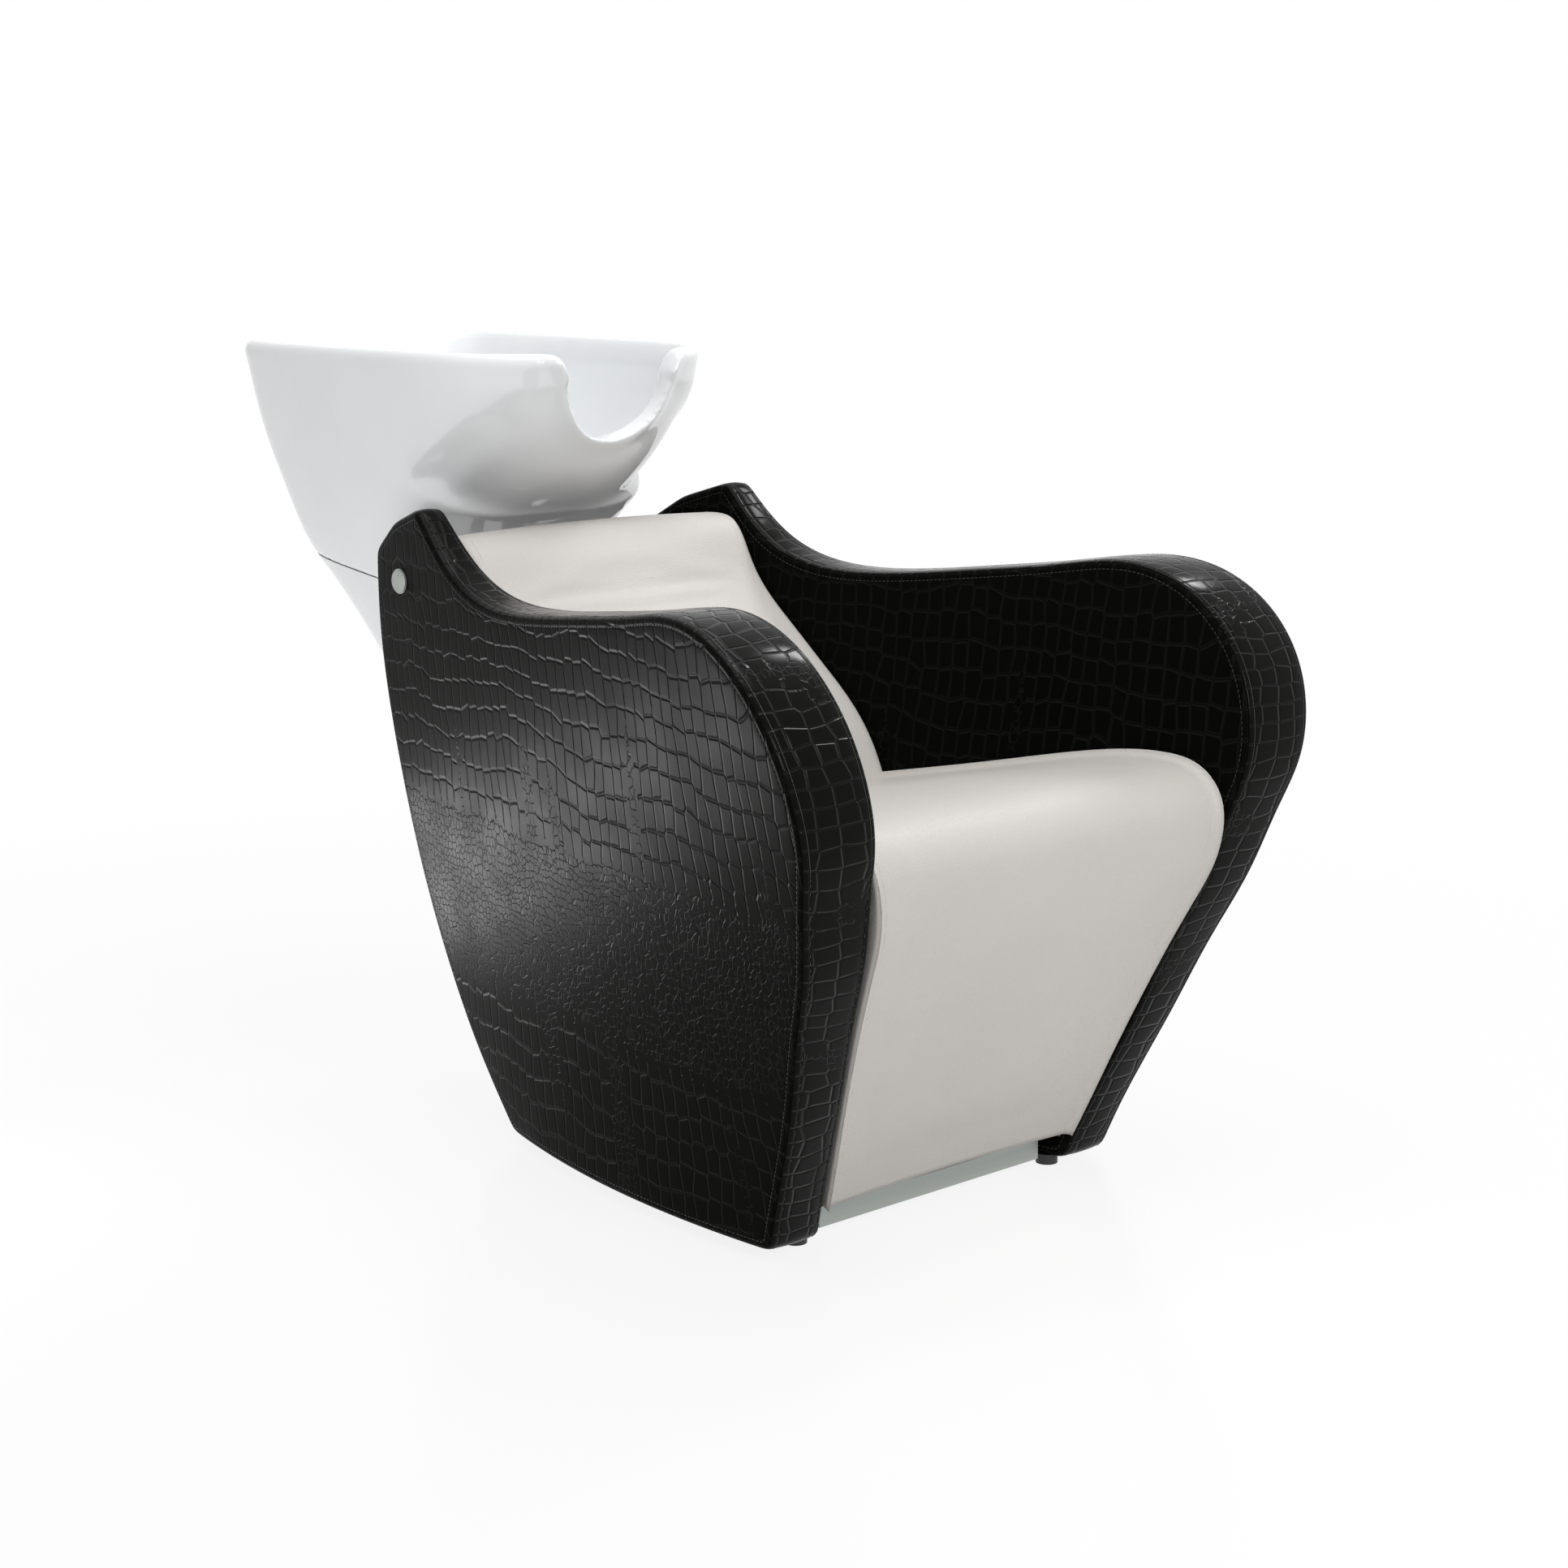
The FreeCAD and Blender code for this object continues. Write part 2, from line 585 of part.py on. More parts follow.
for side in (-1, 1):
    x0 = side * RAIL_X - RAIL_WIDE / 2
    frame_parts.append(box(x0, x0 + RAIL_WIDE, FRONT_POST_Y, ARM_FRONT_Y + ARM_DEEP, ARM_FRONT_Z,
                           ARM_FRONT_Z + ARM_TALL))
frame_parts.append(box(-PLATE_HALF, PLATE_HALF, RAIL_REAR, RAIL_REAR + PLATE, PLATE_LOW, POST_TOP))
base_frame = clear_of_seat(fuse(frame_parts)).cut(seat_board)
floor_holes = []
for side in (-1, 1):
    for tab_y in (FRONT_POST_Y + TUBE, REAR_POST_Y - FOOT_TAB * 2):
        hole_x = side * (RAIL_X - RAIL_WIDE / 2 - FOOT_TAB / 2)
        floor_holes.append((hole_x, tab_y + FOOT_TAB / 2 + TAB_PLATE / 2))
for x, y in floor_holes:
    base_frame = base_frame.cut(cyl(FLOOR_BOLT_R, TAB_PLATE, V(x, y, 0), V(0, 0, 1)))

# Panel bolts, driven from the frame arms into the panel core
inner_normal = V(1.0, INNER_TOE, -INNER_LEAN)
inner_normal.normalize()


def panel_bolt(y, z):
    seat = V(inner_x(y, z), y, z) - inner_normal * PANEL_BOLT_GRIP
    shank = cyl(PANEL_BOLT_R, PANEL_BOLT_LONG, seat, inner_normal)
    head = cyl(PANEL_BOLT_HEAD, HEAD_TALL, seat - inner_normal * HEAD_TALL, inner_normal)
    return shank.fuse(head).removeSplitter()


def panel_hole(y, z, radius):
    seat = V(inner_x(y, z), y, z) - inner_normal * PANEL_BOLT_GRIP
    return cyl(radius, PANEL_BOLT_LONG + BOLT_GAP, seat, inner_normal)


def bolt_pocket(y, z):
    seat = V(inner_x(y, z), y, z) - inner_normal * PANEL_BOLT_GRIP
    return cyl(PANEL_BOLT_HEAD * 1.5, ARM_REACH / 5, seat, inner_normal * -1.0)


PANEL_BOLT_SPOTS = [(ARM_FRONT_Y + ARM_DEEP / 2, ARM_FRONT_Z + ARM_TALL / 2),
                    (ARM_REAR_Y + ARM_DEEP / 2, ARM_REAR_Z + ARM_TALL / 2)]
panel_bolts = [panel_bolt(y, z) for y, z in PANEL_BOLT_SPOTS]
for y, z in PANEL_BOLT_SPOTS:
    hole = panel_hole(y, z, PANEL_BOLT_R + BOLT_GAP)
    side_inner = side_inner.cut(hole)
    side_core = side_core.cut(panel_hole(y, z, PANEL_BOLT_R + TOUCH_GAP))
    for cut in both_sides(hole) + both_sides(bolt_pocket(y, z)):
        base_frame = base_frame.cut(cut)

# Cross tube behind the back with its two bolts, covered by steel caps
cross_half = inner_x(CROSS_Y, CROSS_Z) - CROSS_R * (INNER_LEAN + INNER_TOE)
cross_tube = tube(CROSS_R, CROSS_BOLT_R, 2 * cross_half, V(-cross_half, CROSS_Y, CROSS_Z), V(1, 0, 0))
cap_axis = cyl(CAP_R, PANEL_WIDE, V(0, CROSS_Y, CROSS_Z), V(1, 0, 0))
cap_zone = side_outer.common(cap_axis).optimalBoundingBox(False)
cap_x = cap_zone.XMax + RUN_GAP
CAP_SEAT_R = CAP_R + TOUCH_GAP
bolt_head_x = cap_x - CAP_THICK * 2 - HEAD_TALL
cap = cyl(CAP_R, CAP_THICK, V(cap_x - CAP_THICK, CROSS_Y, CROSS_Z), V(1, 0, 0))
cap = cap.fuse(cyl(CAP_R - CAP_RIM, CAP_RIM, V(cap_x, CROSS_Y, CROSS_Z), V(1, 0, 0))).removeSplitter()
cross_bolt = fuse([
    cyl(HEAD_R, HEAD_TALL, V(bolt_head_x, CROSS_Y, CROSS_Z), V(1, 0, 0)),
    cyl(CROSS_BOLT_R, CROSS_BOLT_LONG, V(bolt_head_x - CROSS_BOLT_LONG, CROSS_Y, CROSS_Z), V(1, 0, 0))])
head_well = cyl(CAP_SEAT_R, PANEL_WIDE, V(bolt_head_x, CROSS_Y, CROSS_Z), V(1, 0, 0))
bolt_way = cyl(CROSS_BOLT_R + BOLT_GAP, PANEL_WIDE, V(0, CROSS_Y, CROSS_Z), V(1, 0, 0))
side_outer = side_outer.cut(head_well).cut(bolt_way)
side_core = side_core.cut(head_well).cut(bolt_way)
side_inner = side_inner.cut(bolt_way)

# Rear cover: one bent sheet between the panels, with side flanges on the panels
rear_front = [V(0, y, z) for y, z in REAR_LINE]
rear_back = [V(0, y + SHEET, z) for y, z in REAR_LINE]
rear_face = Part.Wire([spline(rear_front), Part.LineSegment(rear_front[-1], rear_back[-1]).toShape(),
                       spline(rear_back[::-1]), Part.LineSegment(rear_back[0], rear_front[0]).toShape()])
rear_sheet = prism(rear_face, -SEAT_HALF, SEAT_HALF).common(wedge(TOUCH_GAP))
flange_skin = wedge(TOUCH_GAP).cut(wedge(TOUCH_GAP + SHEET))
flange_zone = band_between([REAR_LINE[0], (REAR_LINE[0][0] + FLANGE_LONG, REAR_LINE[0][1]),
                            (REAR_LINE[2][0] + FLANGE_LONG, REAR_LINE[2][1]), REAR_LINE[2], REAR_LINE[1]],
                           -SEAT_HALF, SEAT_HALF)
rear_cover = fuse([rear_sheet, flange_skin.common(flange_zone)])
rear_cover = rear_cover.cut(box(-REAR_WINDOW_HALF, REAR_WINDOW_HALF, REAR_POST_Y, PIVOT_Y, REAR_WINDOW_LOW,
                                REAR_WINDOW_TOP))


# Basin
def plan_wire(level, grow):
    z, front, rear, half = level
    front += PANEL_REAR - grow
    rear += PANEL_REAR + grow
    half += grow
    right = [V(half * sx, front + (rear - front) * sy, z) for sx, sy in PLAN_SHARES]
    left = [V(-p.x, p.y, z) for p in right[:0:-1]]
    curve = Part.BSplineCurve()
    curve.interpolate(right + [V(0, rear, z)] + left, PeriodicFlag=True)
    return Part.Wire([curve.toShape()])


def body(levels, grow):
    return Part.makeLoft([plan_wire(level, grow) for level in levels], True, False)


def outside(grow):
    """Outer form of basin and lower cover below the rim, grown by the given length."""
    return body(UPPER_LEVELS, grow).fuse(body(LOWER_LEVELS, grow))


def below_split(gap):
    slope = math.radians(SPLIT_SLOPE)
    block = box(-BIG, BIG, -BIG, BIG, -BIG, 0)
    block.rotate(V(0, 0, 0), V(1, 0, 0), -SPLIT_SLOPE)
    block.translate(V(0, SPLIT_Y, SPLIT_Z - gap / math.cos(slope)))
    return block


whole = outside(0).fuse(body(CROWN_LEVELS, 0))
hollow = outside(-WALL)
bowl = body(BOWL_LEVELS, 0).fuse(body(BOWL_CROWN, 0))
bowl_shell = body([(z - WALL if i == len(BOWL_LEVELS) - 1 else z, f, r, h)
                   for i, (z, f, r, h) in enumerate(BOWL_LEVELS)], WALL)
notch_y = PANEL_REAR + RIM[1] - WALL
notch_flare = [V(-NOTCH_R, notch_y, NOTCH_Z), V(NOTCH_R, notch_y, NOTCH_Z),
               V(NOTCH_R + NOTCH_FLARE, notch_y, BOWL_TOP[0]),
               V(-NOTCH_R - NOTCH_FLARE, notch_y, BOWL_TOP[0])]
notch = fuse([
    cyl(NOTCH_R, NOTCH_DEEP, V(0, notch_y, NOTCH_Z), V(0, 1, 0)),
    Part.Face(Part.makePolygon(notch_flare + notch_flare[:1])).extrude(V(0, NOTCH_DEEP, 0))])


def scoop_zone(back):
    """Wedge in front of the scoop tips, its tip moved back by the given length."""
    tip = (SCOOP_TIP_Y + back, SCOOP_TIP_Z)
    return band_between([tip, (tip[0] - SCOOP_LONG, tip[1] + SCOOP_LONG * SCOOP_RISE_SHARE),
                         (tip[0] - SCOOP_LONG, tip[1] - SCOOP_LONG * SCOOP_FALL_SHARE)], -BIG, BIG)


neck_levels = [(z, f + NECK_IN, r, h * share) for (z, f, r, h), share in zip(UPPER_LEVELS, NECK_SHARES)]
whole = whole.cut(scoop_zone(0).cut(body(neck_levels, 0)).cut(bowl_shell))
basin = whole.cut(below_split(0)).cut(bowl).cut(notch)

# Underside of the basin: hollow, with a solid pad over the carrier
pocket = hollow.common(box(-BIG, BIG, -BIG, BIG * 2, 0, HOLLOW_TOP))
pocket = pocket.cut(bowl_shell).cut(scoop_zone(WALL * 2))
pocket = pocket.cut(box(-PAD_HALF, PAD_HALF, PAD_FRONT, PAD_REAR, 0, HOLLOW_TOP))
pocket = pocket.cut(box(-NOTCH_R * 1.4, NOTCH_R * 1.4, 0, PANEL_REAR + BOWL_LOW[1],
                        NOTCH_Z - NOTCH_R - WALL * 2, HOLLOW_TOP))
for piece in pocket.Solids:
    if piece.Volume > WALL ** 3:
        basin = basin.cut(piece)

# Drain hole in the basin, with room for the nut below
floor_z = BOWL_FLOOR[0]
nut_seat_z = floor_z - WALL
NUT_ROOM = NUT_R + WALL
basin = basin.cut(cyl(DRAIN_R, BIG, V(0, DRAIN_Y, floor_z - BIG), V(0, 0, 1)))
basin = basin.cut(cyl(NUT_ROOM, BIG, V(0, DRAIN_Y, nut_seat_z - BIG), V(0, 0, 1)))

# Waste fittings
waste_seal = tube(FLANGE_R, DRAIN_R, SEAL_TALL, V(0, DRAIN_Y, floor_z), V(0, 0, 1))
flange_z = floor_z + SEAL_TALL
waste_low = nut_seat_z - SEAL_TALL - NUT_TALL * 2
waste_flange = fuse([
    tube(FLANGE_R, WASTE_BORE, FLANGE_TALL, V(0, DRAIN_Y, flange_z), V(0, 0, 1)),
    tube(WASTE_R, WASTE_BORE, flange_z - waste_low, V(0, DRAIN_Y, waste_low), V(0, 0, 1))])
nut_washer = tube(NUT_R, WASTE_R + BOLT_GAP, SEAL_TALL, V(0, DRAIN_Y, nut_seat_z - SEAL_TALL), V(0, 0, 1))
nut_z = nut_seat_z - SEAL_TALL - NUT_TALL
waste_nut = tube(NUT_R, WASTE_R + TOUCH_GAP, NUT_TALL, V(0, DRAIN_Y, nut_z), V(0, 0, 1))
tail_pipe = fuse([
    tube(TAIL_R, TAIL_BORE, waste_low - TAIL_LOW, V(0, DRAIN_Y, TAIL_LOW), V(0, 0, 1)),
    tube(SPIGOT_R, TAIL_BORE, NUT_TALL, V(0, DRAIN_Y, waste_low), V(0, 0, 1))])

# Lift-out strainer: a perforated cup hanging by its brim on the flange
strainer_z = flange_z + FLANGE_TALL
cup_z = strainer_z - STRAINER_TALL
strainer = fuse([
    tube(STRAINER_BRIM_R, STRAINER_R - STRAINER_WALL, STRAINER_WALL, V(0, DRAIN_Y, strainer_z), V(0, 0, 1)),
    tube(STRAINER_R, STRAINER_R - STRAINER_WALL, STRAINER_TALL, V(0, DRAIN_Y, cup_z), V(0, 0, 1)),
    cyl(STRAINER_R, STRAINER_WALL, V(0, DRAIN_Y, cup_z), V(0, 0, 1))])
for step in range(STRAINER_HOLES):
    angle = 2 * math.pi * step / STRAINER_HOLES
    hole_at = V(STRAINER_RING_R * math.cos(angle), DRAIN_Y + STRAINER_RING_R * math.sin(angle), cup_z)
    strainer = strainer.cut(cyl(STRAINER_HOLE_R, STRAINER_WALL, hole_at, V(0, 0, 1)))

# Lower cover: shell under the split, open at the front for the bracket and below for hose and lever
lower_inside = outside(-COVER_WALL).cut(box(-BIG, BIG, -BIG, BIG * 2, 0, HEEL[0] + COVER_WALL))
lower_cover = whole.common(below_split(TOUCH_GAP)).cut(lower_inside)
lower_cover = lower_cover.cut(box(-COVER_WINDOW_HALF, COVER_WINDOW_HALF, REAR_POST_Y, PIVOT_Y, 0,
                                  COVER_WINDOW_TOP))
lower_cover = lower_cover.cut(cyl(HOSE_HOLE_R, HEEL[0] + COVER_WALL * 2, V(0, DRAIN_Y, 0), V(0, 0, 1)))
lever_room = LEVER_KNOB_R + SOFT_GAP
lever_slot = box(LEVER_X - lever_room, LEVER_X + lever_room, PIVOT_Y - lever_room, LEVER_SLOT_REAR, 0,
                 HEEL[0] + COVER_WALL * 3)
lower_cover = lower_cover.cut(lever_slot)


# Pieces set on the split plane
def on_split(shape):
    shape.rotate(V(0, 0, 0), V(1, 0, 0), -SPLIT_SLOPE)
    shape.translate(V(0, SPLIT_Y, SPLIT_Z))
    return shape


def along_split(y):
    return (y - SPLIT_Y) / math.cos(math.radians(SPLIT_SLOPE))


plate_y0 = along_split(PAD_FRONT)
plate_y1 = along_split(PAD_REAR)
wing_y0 = along_split(WING_Y)
drain_room = cyl(NUT_ROOM, BIG, V(0, DRAIN_Y, 0), V(0, 0, 1))
gasket = on_split(box(-PAD_HALF, PAD_HALF, plate_y0, plate_y1, -GASKET, 0)).cut(drain_room)
carrier_plate = fuse([
    on_split(box(-PAD_HALF, PAD_HALF, plate_y0, plate_y1, -GASKET - CARRIER_PLATE, -GASKET)),
    on_split(box(-BIG, BIG, wing_y0, wing_y0 + WING_DEEP, -GASKET - CARRIER_PLATE, -GASKET)).common(
        outside(-COVER_WALL - TOUCH_GAP))])
carrier_plate = carrier_plate.cut(drain_room)
split_tan = math.tan(math.radians(SPLIT_SLOPE))
plate_drop = (GASKET + CARRIER_PLATE / 2) / math.cos(math.radians(SPLIT_SLOPE))


def plate_z(y):
    return SPLIT_Z + (SPLIT_Y - y) * split_tan - plate_drop


def lug_at(x0):
    web = band_between([(PIVOT_Y - LUG_R, PIVOT_Z), (PIVOT_Y - LUG_R, plate_z(PIVOT_Y - LUG_R)),
                        (LUG_REAR, plate_z(LUG_REAR)), (PIVOT_Y + LUG_R, PIVOT_Z)], x0, x0 + LUG)
    return web.fuse(cyl(LUG_R, LUG, V(x0, PIVOT_Y, PIVOT_Z), V(1, 0, 0)))


lug = lug_at(LUG_X)
carrier = fuse([carrier_plate] + both_sides(lug))
carrier = carrier.cut(cyl(BUSH_R + TOUCH_GAP / 10, BIG, V(-BIG / 2, PIVOT_Y, PIVOT_Z), V(1, 0, 0)))
carrier = carrier.cut(drain_room)


def ring(outer, inner, x0, x1):
    return tube(outer, inner, x1 - x0, V(x0, PIVOT_Y, PIVOT_Z), V(1, 0, 0))


lug_out = LUG_X + LUG
bush = fuse([ring(BUSH_R, PIN_R + RUN_GAP, LUG_X, lug_out),
             ring(BUSH_COLLAR_R, PIN_R + RUN_GAP, lug_out, lug_out + BUSH_COLLAR)])
cheek_in = lug_out + BUSH_COLLAR + WASHER + RUN_GAP * 2
cheek_out = cheek_in + CHEEK
washer = ring(BUSH_COLLAR_R, PIN_R + RUN_GAP * 2, cheek_in - WASHER - RUN_GAP, cheek_in - RUN_GAP)
pin_end = cheek_out + LEVER_HUB + LEVER_NUT + RUN_GAP * 4
hinge_pin = fuse([cyl(PIN_R, pin_end + cheek_out, V(-cheek_out, PIVOT_Y, PIVOT_Z), V(1, 0, 0)),
                  cyl(PIN_HEAD_R, PIN_HEAD, V(-cheek_out - PIN_HEAD, PIVOT_Y, PIVOT_Z), V(1, 0, 0))])
pin_nut = ring(PIN_HEAD_R, PIN_R + TOUCH_GAP / 10, pin_end - LEVER_NUT, pin_end)

# Fixed bracket on the frame, with the stop rod between its cheeks
bracket_y = REAR_POST_Y + TUBE + PLATE
bracket_face = bracket_y + CHEEK
cheek = band_between([(bracket_y, BRACKET_LOW), (PIVOT_Y, PIVOT_Z - CHEEK_R), (PIVOT_Y, PIVOT_Z + CHEEK_R),
                      (STOP_Y + STOP_R, STOP_Z + STOP_R), (STOP_Y - STOP_R, STOP_Z + STOP_R),
                      (bracket_y, POST_TOP)], cheek_in, cheek_out)
cheek = cheek.fuse(cyl(CHEEK_R, CHEEK, V(cheek_in, PIVOT_Y, PIVOT_Z), V(1, 0, 0)))
bracket_plate = box(-BRACKET_HALF, BRACKET_HALF, bracket_y, bracket_face, BRACKET_LOW, POST_TOP)
bracket = fuse([bracket_plate] + both_sides(cheek))
bracket = bracket.cut(cyl(PIN_R, BIG, V(-BIG / 2, PIVOT_Y, PIVOT_Z), V(1, 0, 0)))
stop_hole = cyl(ROD_R, BIG, V(-BIG / 2, STOP_Y, STOP_Z), V(1, 0, 0))
bracket = bracket.cut(stop_hole)
stop_rod = cyl(ROD_R, cheek_out * 2, V(-cheek_out, STOP_Y, STOP_Z), V(1, 0, 0))
stop_sleeve = tube(STOP_R, ROD_R + TOUCH_GAP / 10, cheek_in * 2 - BOLT_GAP,
                   V(-cheek_in + BOLT_GAP / 2, STOP_Y, STOP_Z), V(1, 0, 0))


# Lock lever on the end of the pin
lever_hub = ring(LEVER_HUB_R, PIN_R + RUN_GAP, cheek_out + RUN_GAP, cheek_out + RUN_GAP + LEVER_HUB)
lever_top = PIVOT_Z - LEVER_HUB_R + LEVER_ARM_R
lever_arm = cyl(LEVER_ARM_R, LEVER_LONG, V(LEVER_X, PIVOT_Y, lever_top), V(0, 0, -1))
lock_lever = fuse([lever_hub, lever_arm])
knob_z = lever_top - LEVER_LONG
lever_knob = Part.makeSphere(LEVER_KNOB_R, V(LEVER_X, PIVOT_Y, knob_z))
lever_knob = lever_knob.cut(cyl(LEVER_ARM_R + RUN_GAP, LEVER_KNOB_R * 2, V(LEVER_X, PIVOT_Y, knob_z),
                                V(0, 0, 1)))


# Fasteners
def bolt(start, aim, radius, length, head_r, head_tall):
    return fuse([cyl(radius, length, start, aim), cyl(head_r, head_tall, start - aim * head_tall, aim)])


BRACKET_BOLT_LONG = CHEEK + PLATE + TUBE / 4
bracket_spots = [(x, z) for x in (-BRACKET_BOLT_X, BRACKET_BOLT_X)
                 for z in (BRACKET_LOW + BRACKET_BOLT_EDGE, POST_TOP - BRACKET_BOLT_EDGE)]
bracket_bolts = []
for x, z in bracket_spots:
    start = V(x, bracket_face, z)
    bracket_bolts.append(bolt(start, V(0, -1, 0), BRACKET_BOLT_R, BRACKET_BOLT_LONG, HEAD_R, HEAD_TALL))
    way = cyl(BRACKET_BOLT_R + TOUCH_GAP, BRACKET_BOLT_LONG + BOLT_GAP, start, V(0, -1, 0))
    bracket = bracket.cut(way)
    base_frame = base_frame.cut(way)

split_up = V(0, math.sin(math.radians(SPLIT_SLOPE)), math.cos(math.radians(SPLIT_SLOPE)))
carrier_bolts = []
for x in (-CARRIER_BOLT_X, CARRIER_BOLT_X):
    for y in (PAD_FRONT + CARRIER_BOLT_EDGE, PAD_REAR - CARRIER_BOLT_EDGE):
        under = V(x, y, SPLIT_Z + (SPLIT_Y - y) * split_tan) - split_up * (GASKET + CARRIER_PLATE)
        carrier_bolts.append(bolt(under, split_up, CARRIER_BOLT_R, CARRIER_BOLT_LONG, CARRIER_BOLT_R * 2,
                                  HEAD_TALL))
        way = cyl(CARRIER_BOLT_R + TOUCH_GAP, CARRIER_BOLT_LONG + BOLT_GAP, under, split_up)
        carrier = carrier.cut(way)
        gasket = gasket.cut(way)
        basin = basin.cut(way)

seat_normal = SEAT_DOWN * -1.0
seat_screws = []
for side in (-1, 1):
    for share in SCREW_SHARES:
        spot = V(side * RAIL_X, bearer_top[0] + (bearer_end[0] - bearer_top[0]) * share,
                 bearer_top[1] + (bearer_end[1] - bearer_top[1]) * share) - seat_normal * TUBE
        seat_screws.append(bolt(spot, seat_normal, SCREW_R, TUBE + BOARD * 0.7, SCREW_R * 2, SCREW_R))
        way = cyl(SCREW_R + TOUCH_GAP, TUBE + BOARD * 0.7 + BOLT_GAP, spot, seat_normal)
        base_frame = base_frame.cut(way)
        seat_board = seat_board.cut(way)
back_screws = []
back_grip = TUBE * 0.75
for side in (-1, 1):
    for share in SCREW_SHARES:
        spot = back_point(BACK_START + (BACK_LENGTH - BACK_TRIM * 6 - BACK_START) * share,
                          -BACK_PAD - BACK_BOARD - back_grip, side * RAIL_X)
        back_screws.append(bolt(spot, BACK_OUT, SCREW_R, back_grip + BACK_BOARD * 0.7, SCREW_R * 2, SCREW_R))
        way = cyl(SCREW_R + TOUCH_GAP, back_grip + BACK_BOARD * 0.7 + BOLT_GAP, spot, BACK_OUT)
        room = cyl(SCREW_R * 2.5, TUBE * 2, spot, BACK_OUT * -1.0)
        base_frame = base_frame.cut(way).cut(room)
        back_board = back_board.cut(way)
kick_screws = []
for side in (-1, 1):
    spot = V(side * RAIL_X / 2, RAIL_FRONT + KICK_SCREW_IN, KICK_LOW)
    kick_screws.append(bolt(spot, V(0, 0, 1), SCREW_R, KICK_SCREW_LONG, SCREW_R * 2, SCREW_R))
    way = cyl(SCREW_R + TOUCH_GAP, KICK_SCREW_LONG + BOLT_GAP, spot, V(0, 0, 1))
    kick_plate = kick_plate.cut(way)
    base_frame = base_frame.cut(way)


# Glides under the panels
def glide(y):
    middle = 0.5 * (inner_x(y, PANEL_BOTTOM) + GLIDE_OUT)
    return cyl(GLIDE_RADIUS, PANEL_BOTTOM, V(middle, y, 0), V(0, 0, 1))


glides = []
for y in (GLIDE_FRONT_Y, GLIDE_REAR_Y):
    glides += both_sides(glide(y))

nodes = {
    "base_frame": base_frame, "seat_board": seat_board, "front_board": front_board, "back_board": back_board,
    "seat_cushion": seat_cushion, "back_cushion": back_cushion, "kick_plate": kick_plate,
    "rear_cover": rear_cover, "cross_tube": cross_tube, "glides": Part.makeCompound(glides),
    "hinge_bracket": bracket, "hinge_pin": hinge_pin, "pin_nut": pin_nut, "stop_rod": stop_rod,
    "stop_sleeve": stop_sleeve, "friction_washers": Part.makeCompound(both_sides(washer)),
    "bracket_bolts": Part.makeCompound(bracket_bolts), "seat_screws": Part.makeCompound(seat_screws),
    "back_screws": Part.makeCompound(back_screws), "kick_screws": Part.makeCompound(kick_screws),
    "basin": basin, "lower_cover": lower_cover, "carrier": carrier, "gasket": gasket,
    "carrier_bolts": Part.makeCompound(carrier_bolts), "hinge_bushes": Part.makeCompound(both_sides(bush)),
    "waste_flange": waste_flange, "waste_seal": waste_seal, "nut_washer": nut_washer, "waste_nut": waste_nut,
    "tail_pipe": tail_pipe, "strainer": strainer, "lock_lever": lock_lever, "lever_knob": lever_knob}
sided = {"side_outer": side_outer, "side_inner": side_inner, "side_band": side_band, "side_core": side_core,
         "panel_bolts": Part.makeCompound(panel_bolts), "cap": cap, "cross_bolt": cross_bolt}
for name, shape in sided.items():
    nodes[name + "_left"] = shape
    nodes[name + "_right"] = mirrored(shape)

# The origin goes on the floor under the middle of the whole
whole_box = Part.makeCompound(list(nodes.values())).optimalBoundingBox(False)
middle = V(0, 0.5 * (whole_box.YMin + whole_box.YMax), whole_box.ZMin)
for name, shape in nodes.items():
    placed = shape.copy()
    placed.translate(middle * -1.0)
    placed.exportStep("parts/" + name + ".step")
print("shift", middle)
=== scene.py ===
import json
import math

import bmesh
import bpy
import numpy as np
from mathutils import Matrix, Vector
from mathutils.bvhtree import BVHTree
from mathutils.geometry import delaunay_2d_cdt


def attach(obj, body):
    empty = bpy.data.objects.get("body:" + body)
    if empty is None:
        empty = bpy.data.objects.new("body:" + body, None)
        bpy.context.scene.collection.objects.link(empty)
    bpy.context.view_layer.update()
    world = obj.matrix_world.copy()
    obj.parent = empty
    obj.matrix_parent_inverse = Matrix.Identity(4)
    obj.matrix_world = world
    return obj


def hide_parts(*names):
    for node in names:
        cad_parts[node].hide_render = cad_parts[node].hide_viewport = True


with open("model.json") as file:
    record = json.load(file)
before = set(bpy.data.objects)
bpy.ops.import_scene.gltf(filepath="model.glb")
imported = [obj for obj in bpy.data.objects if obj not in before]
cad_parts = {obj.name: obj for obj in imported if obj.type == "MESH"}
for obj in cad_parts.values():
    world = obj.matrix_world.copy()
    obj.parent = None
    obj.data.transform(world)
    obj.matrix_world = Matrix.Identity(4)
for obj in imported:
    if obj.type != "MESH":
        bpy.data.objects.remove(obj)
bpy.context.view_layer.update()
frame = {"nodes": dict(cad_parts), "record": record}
nodes = frame["nodes"]
slot_of = {part["node"]: part["material_slot"] for part in frame["record"]["subparts"]}

MM = 0.001
TINY = 0.001 * MM
WELD = 0.01 * MM
FAR_AWAY = 1.0
# The row frame's y is the chair's y less this
SHIFT = 294.2008 * MM

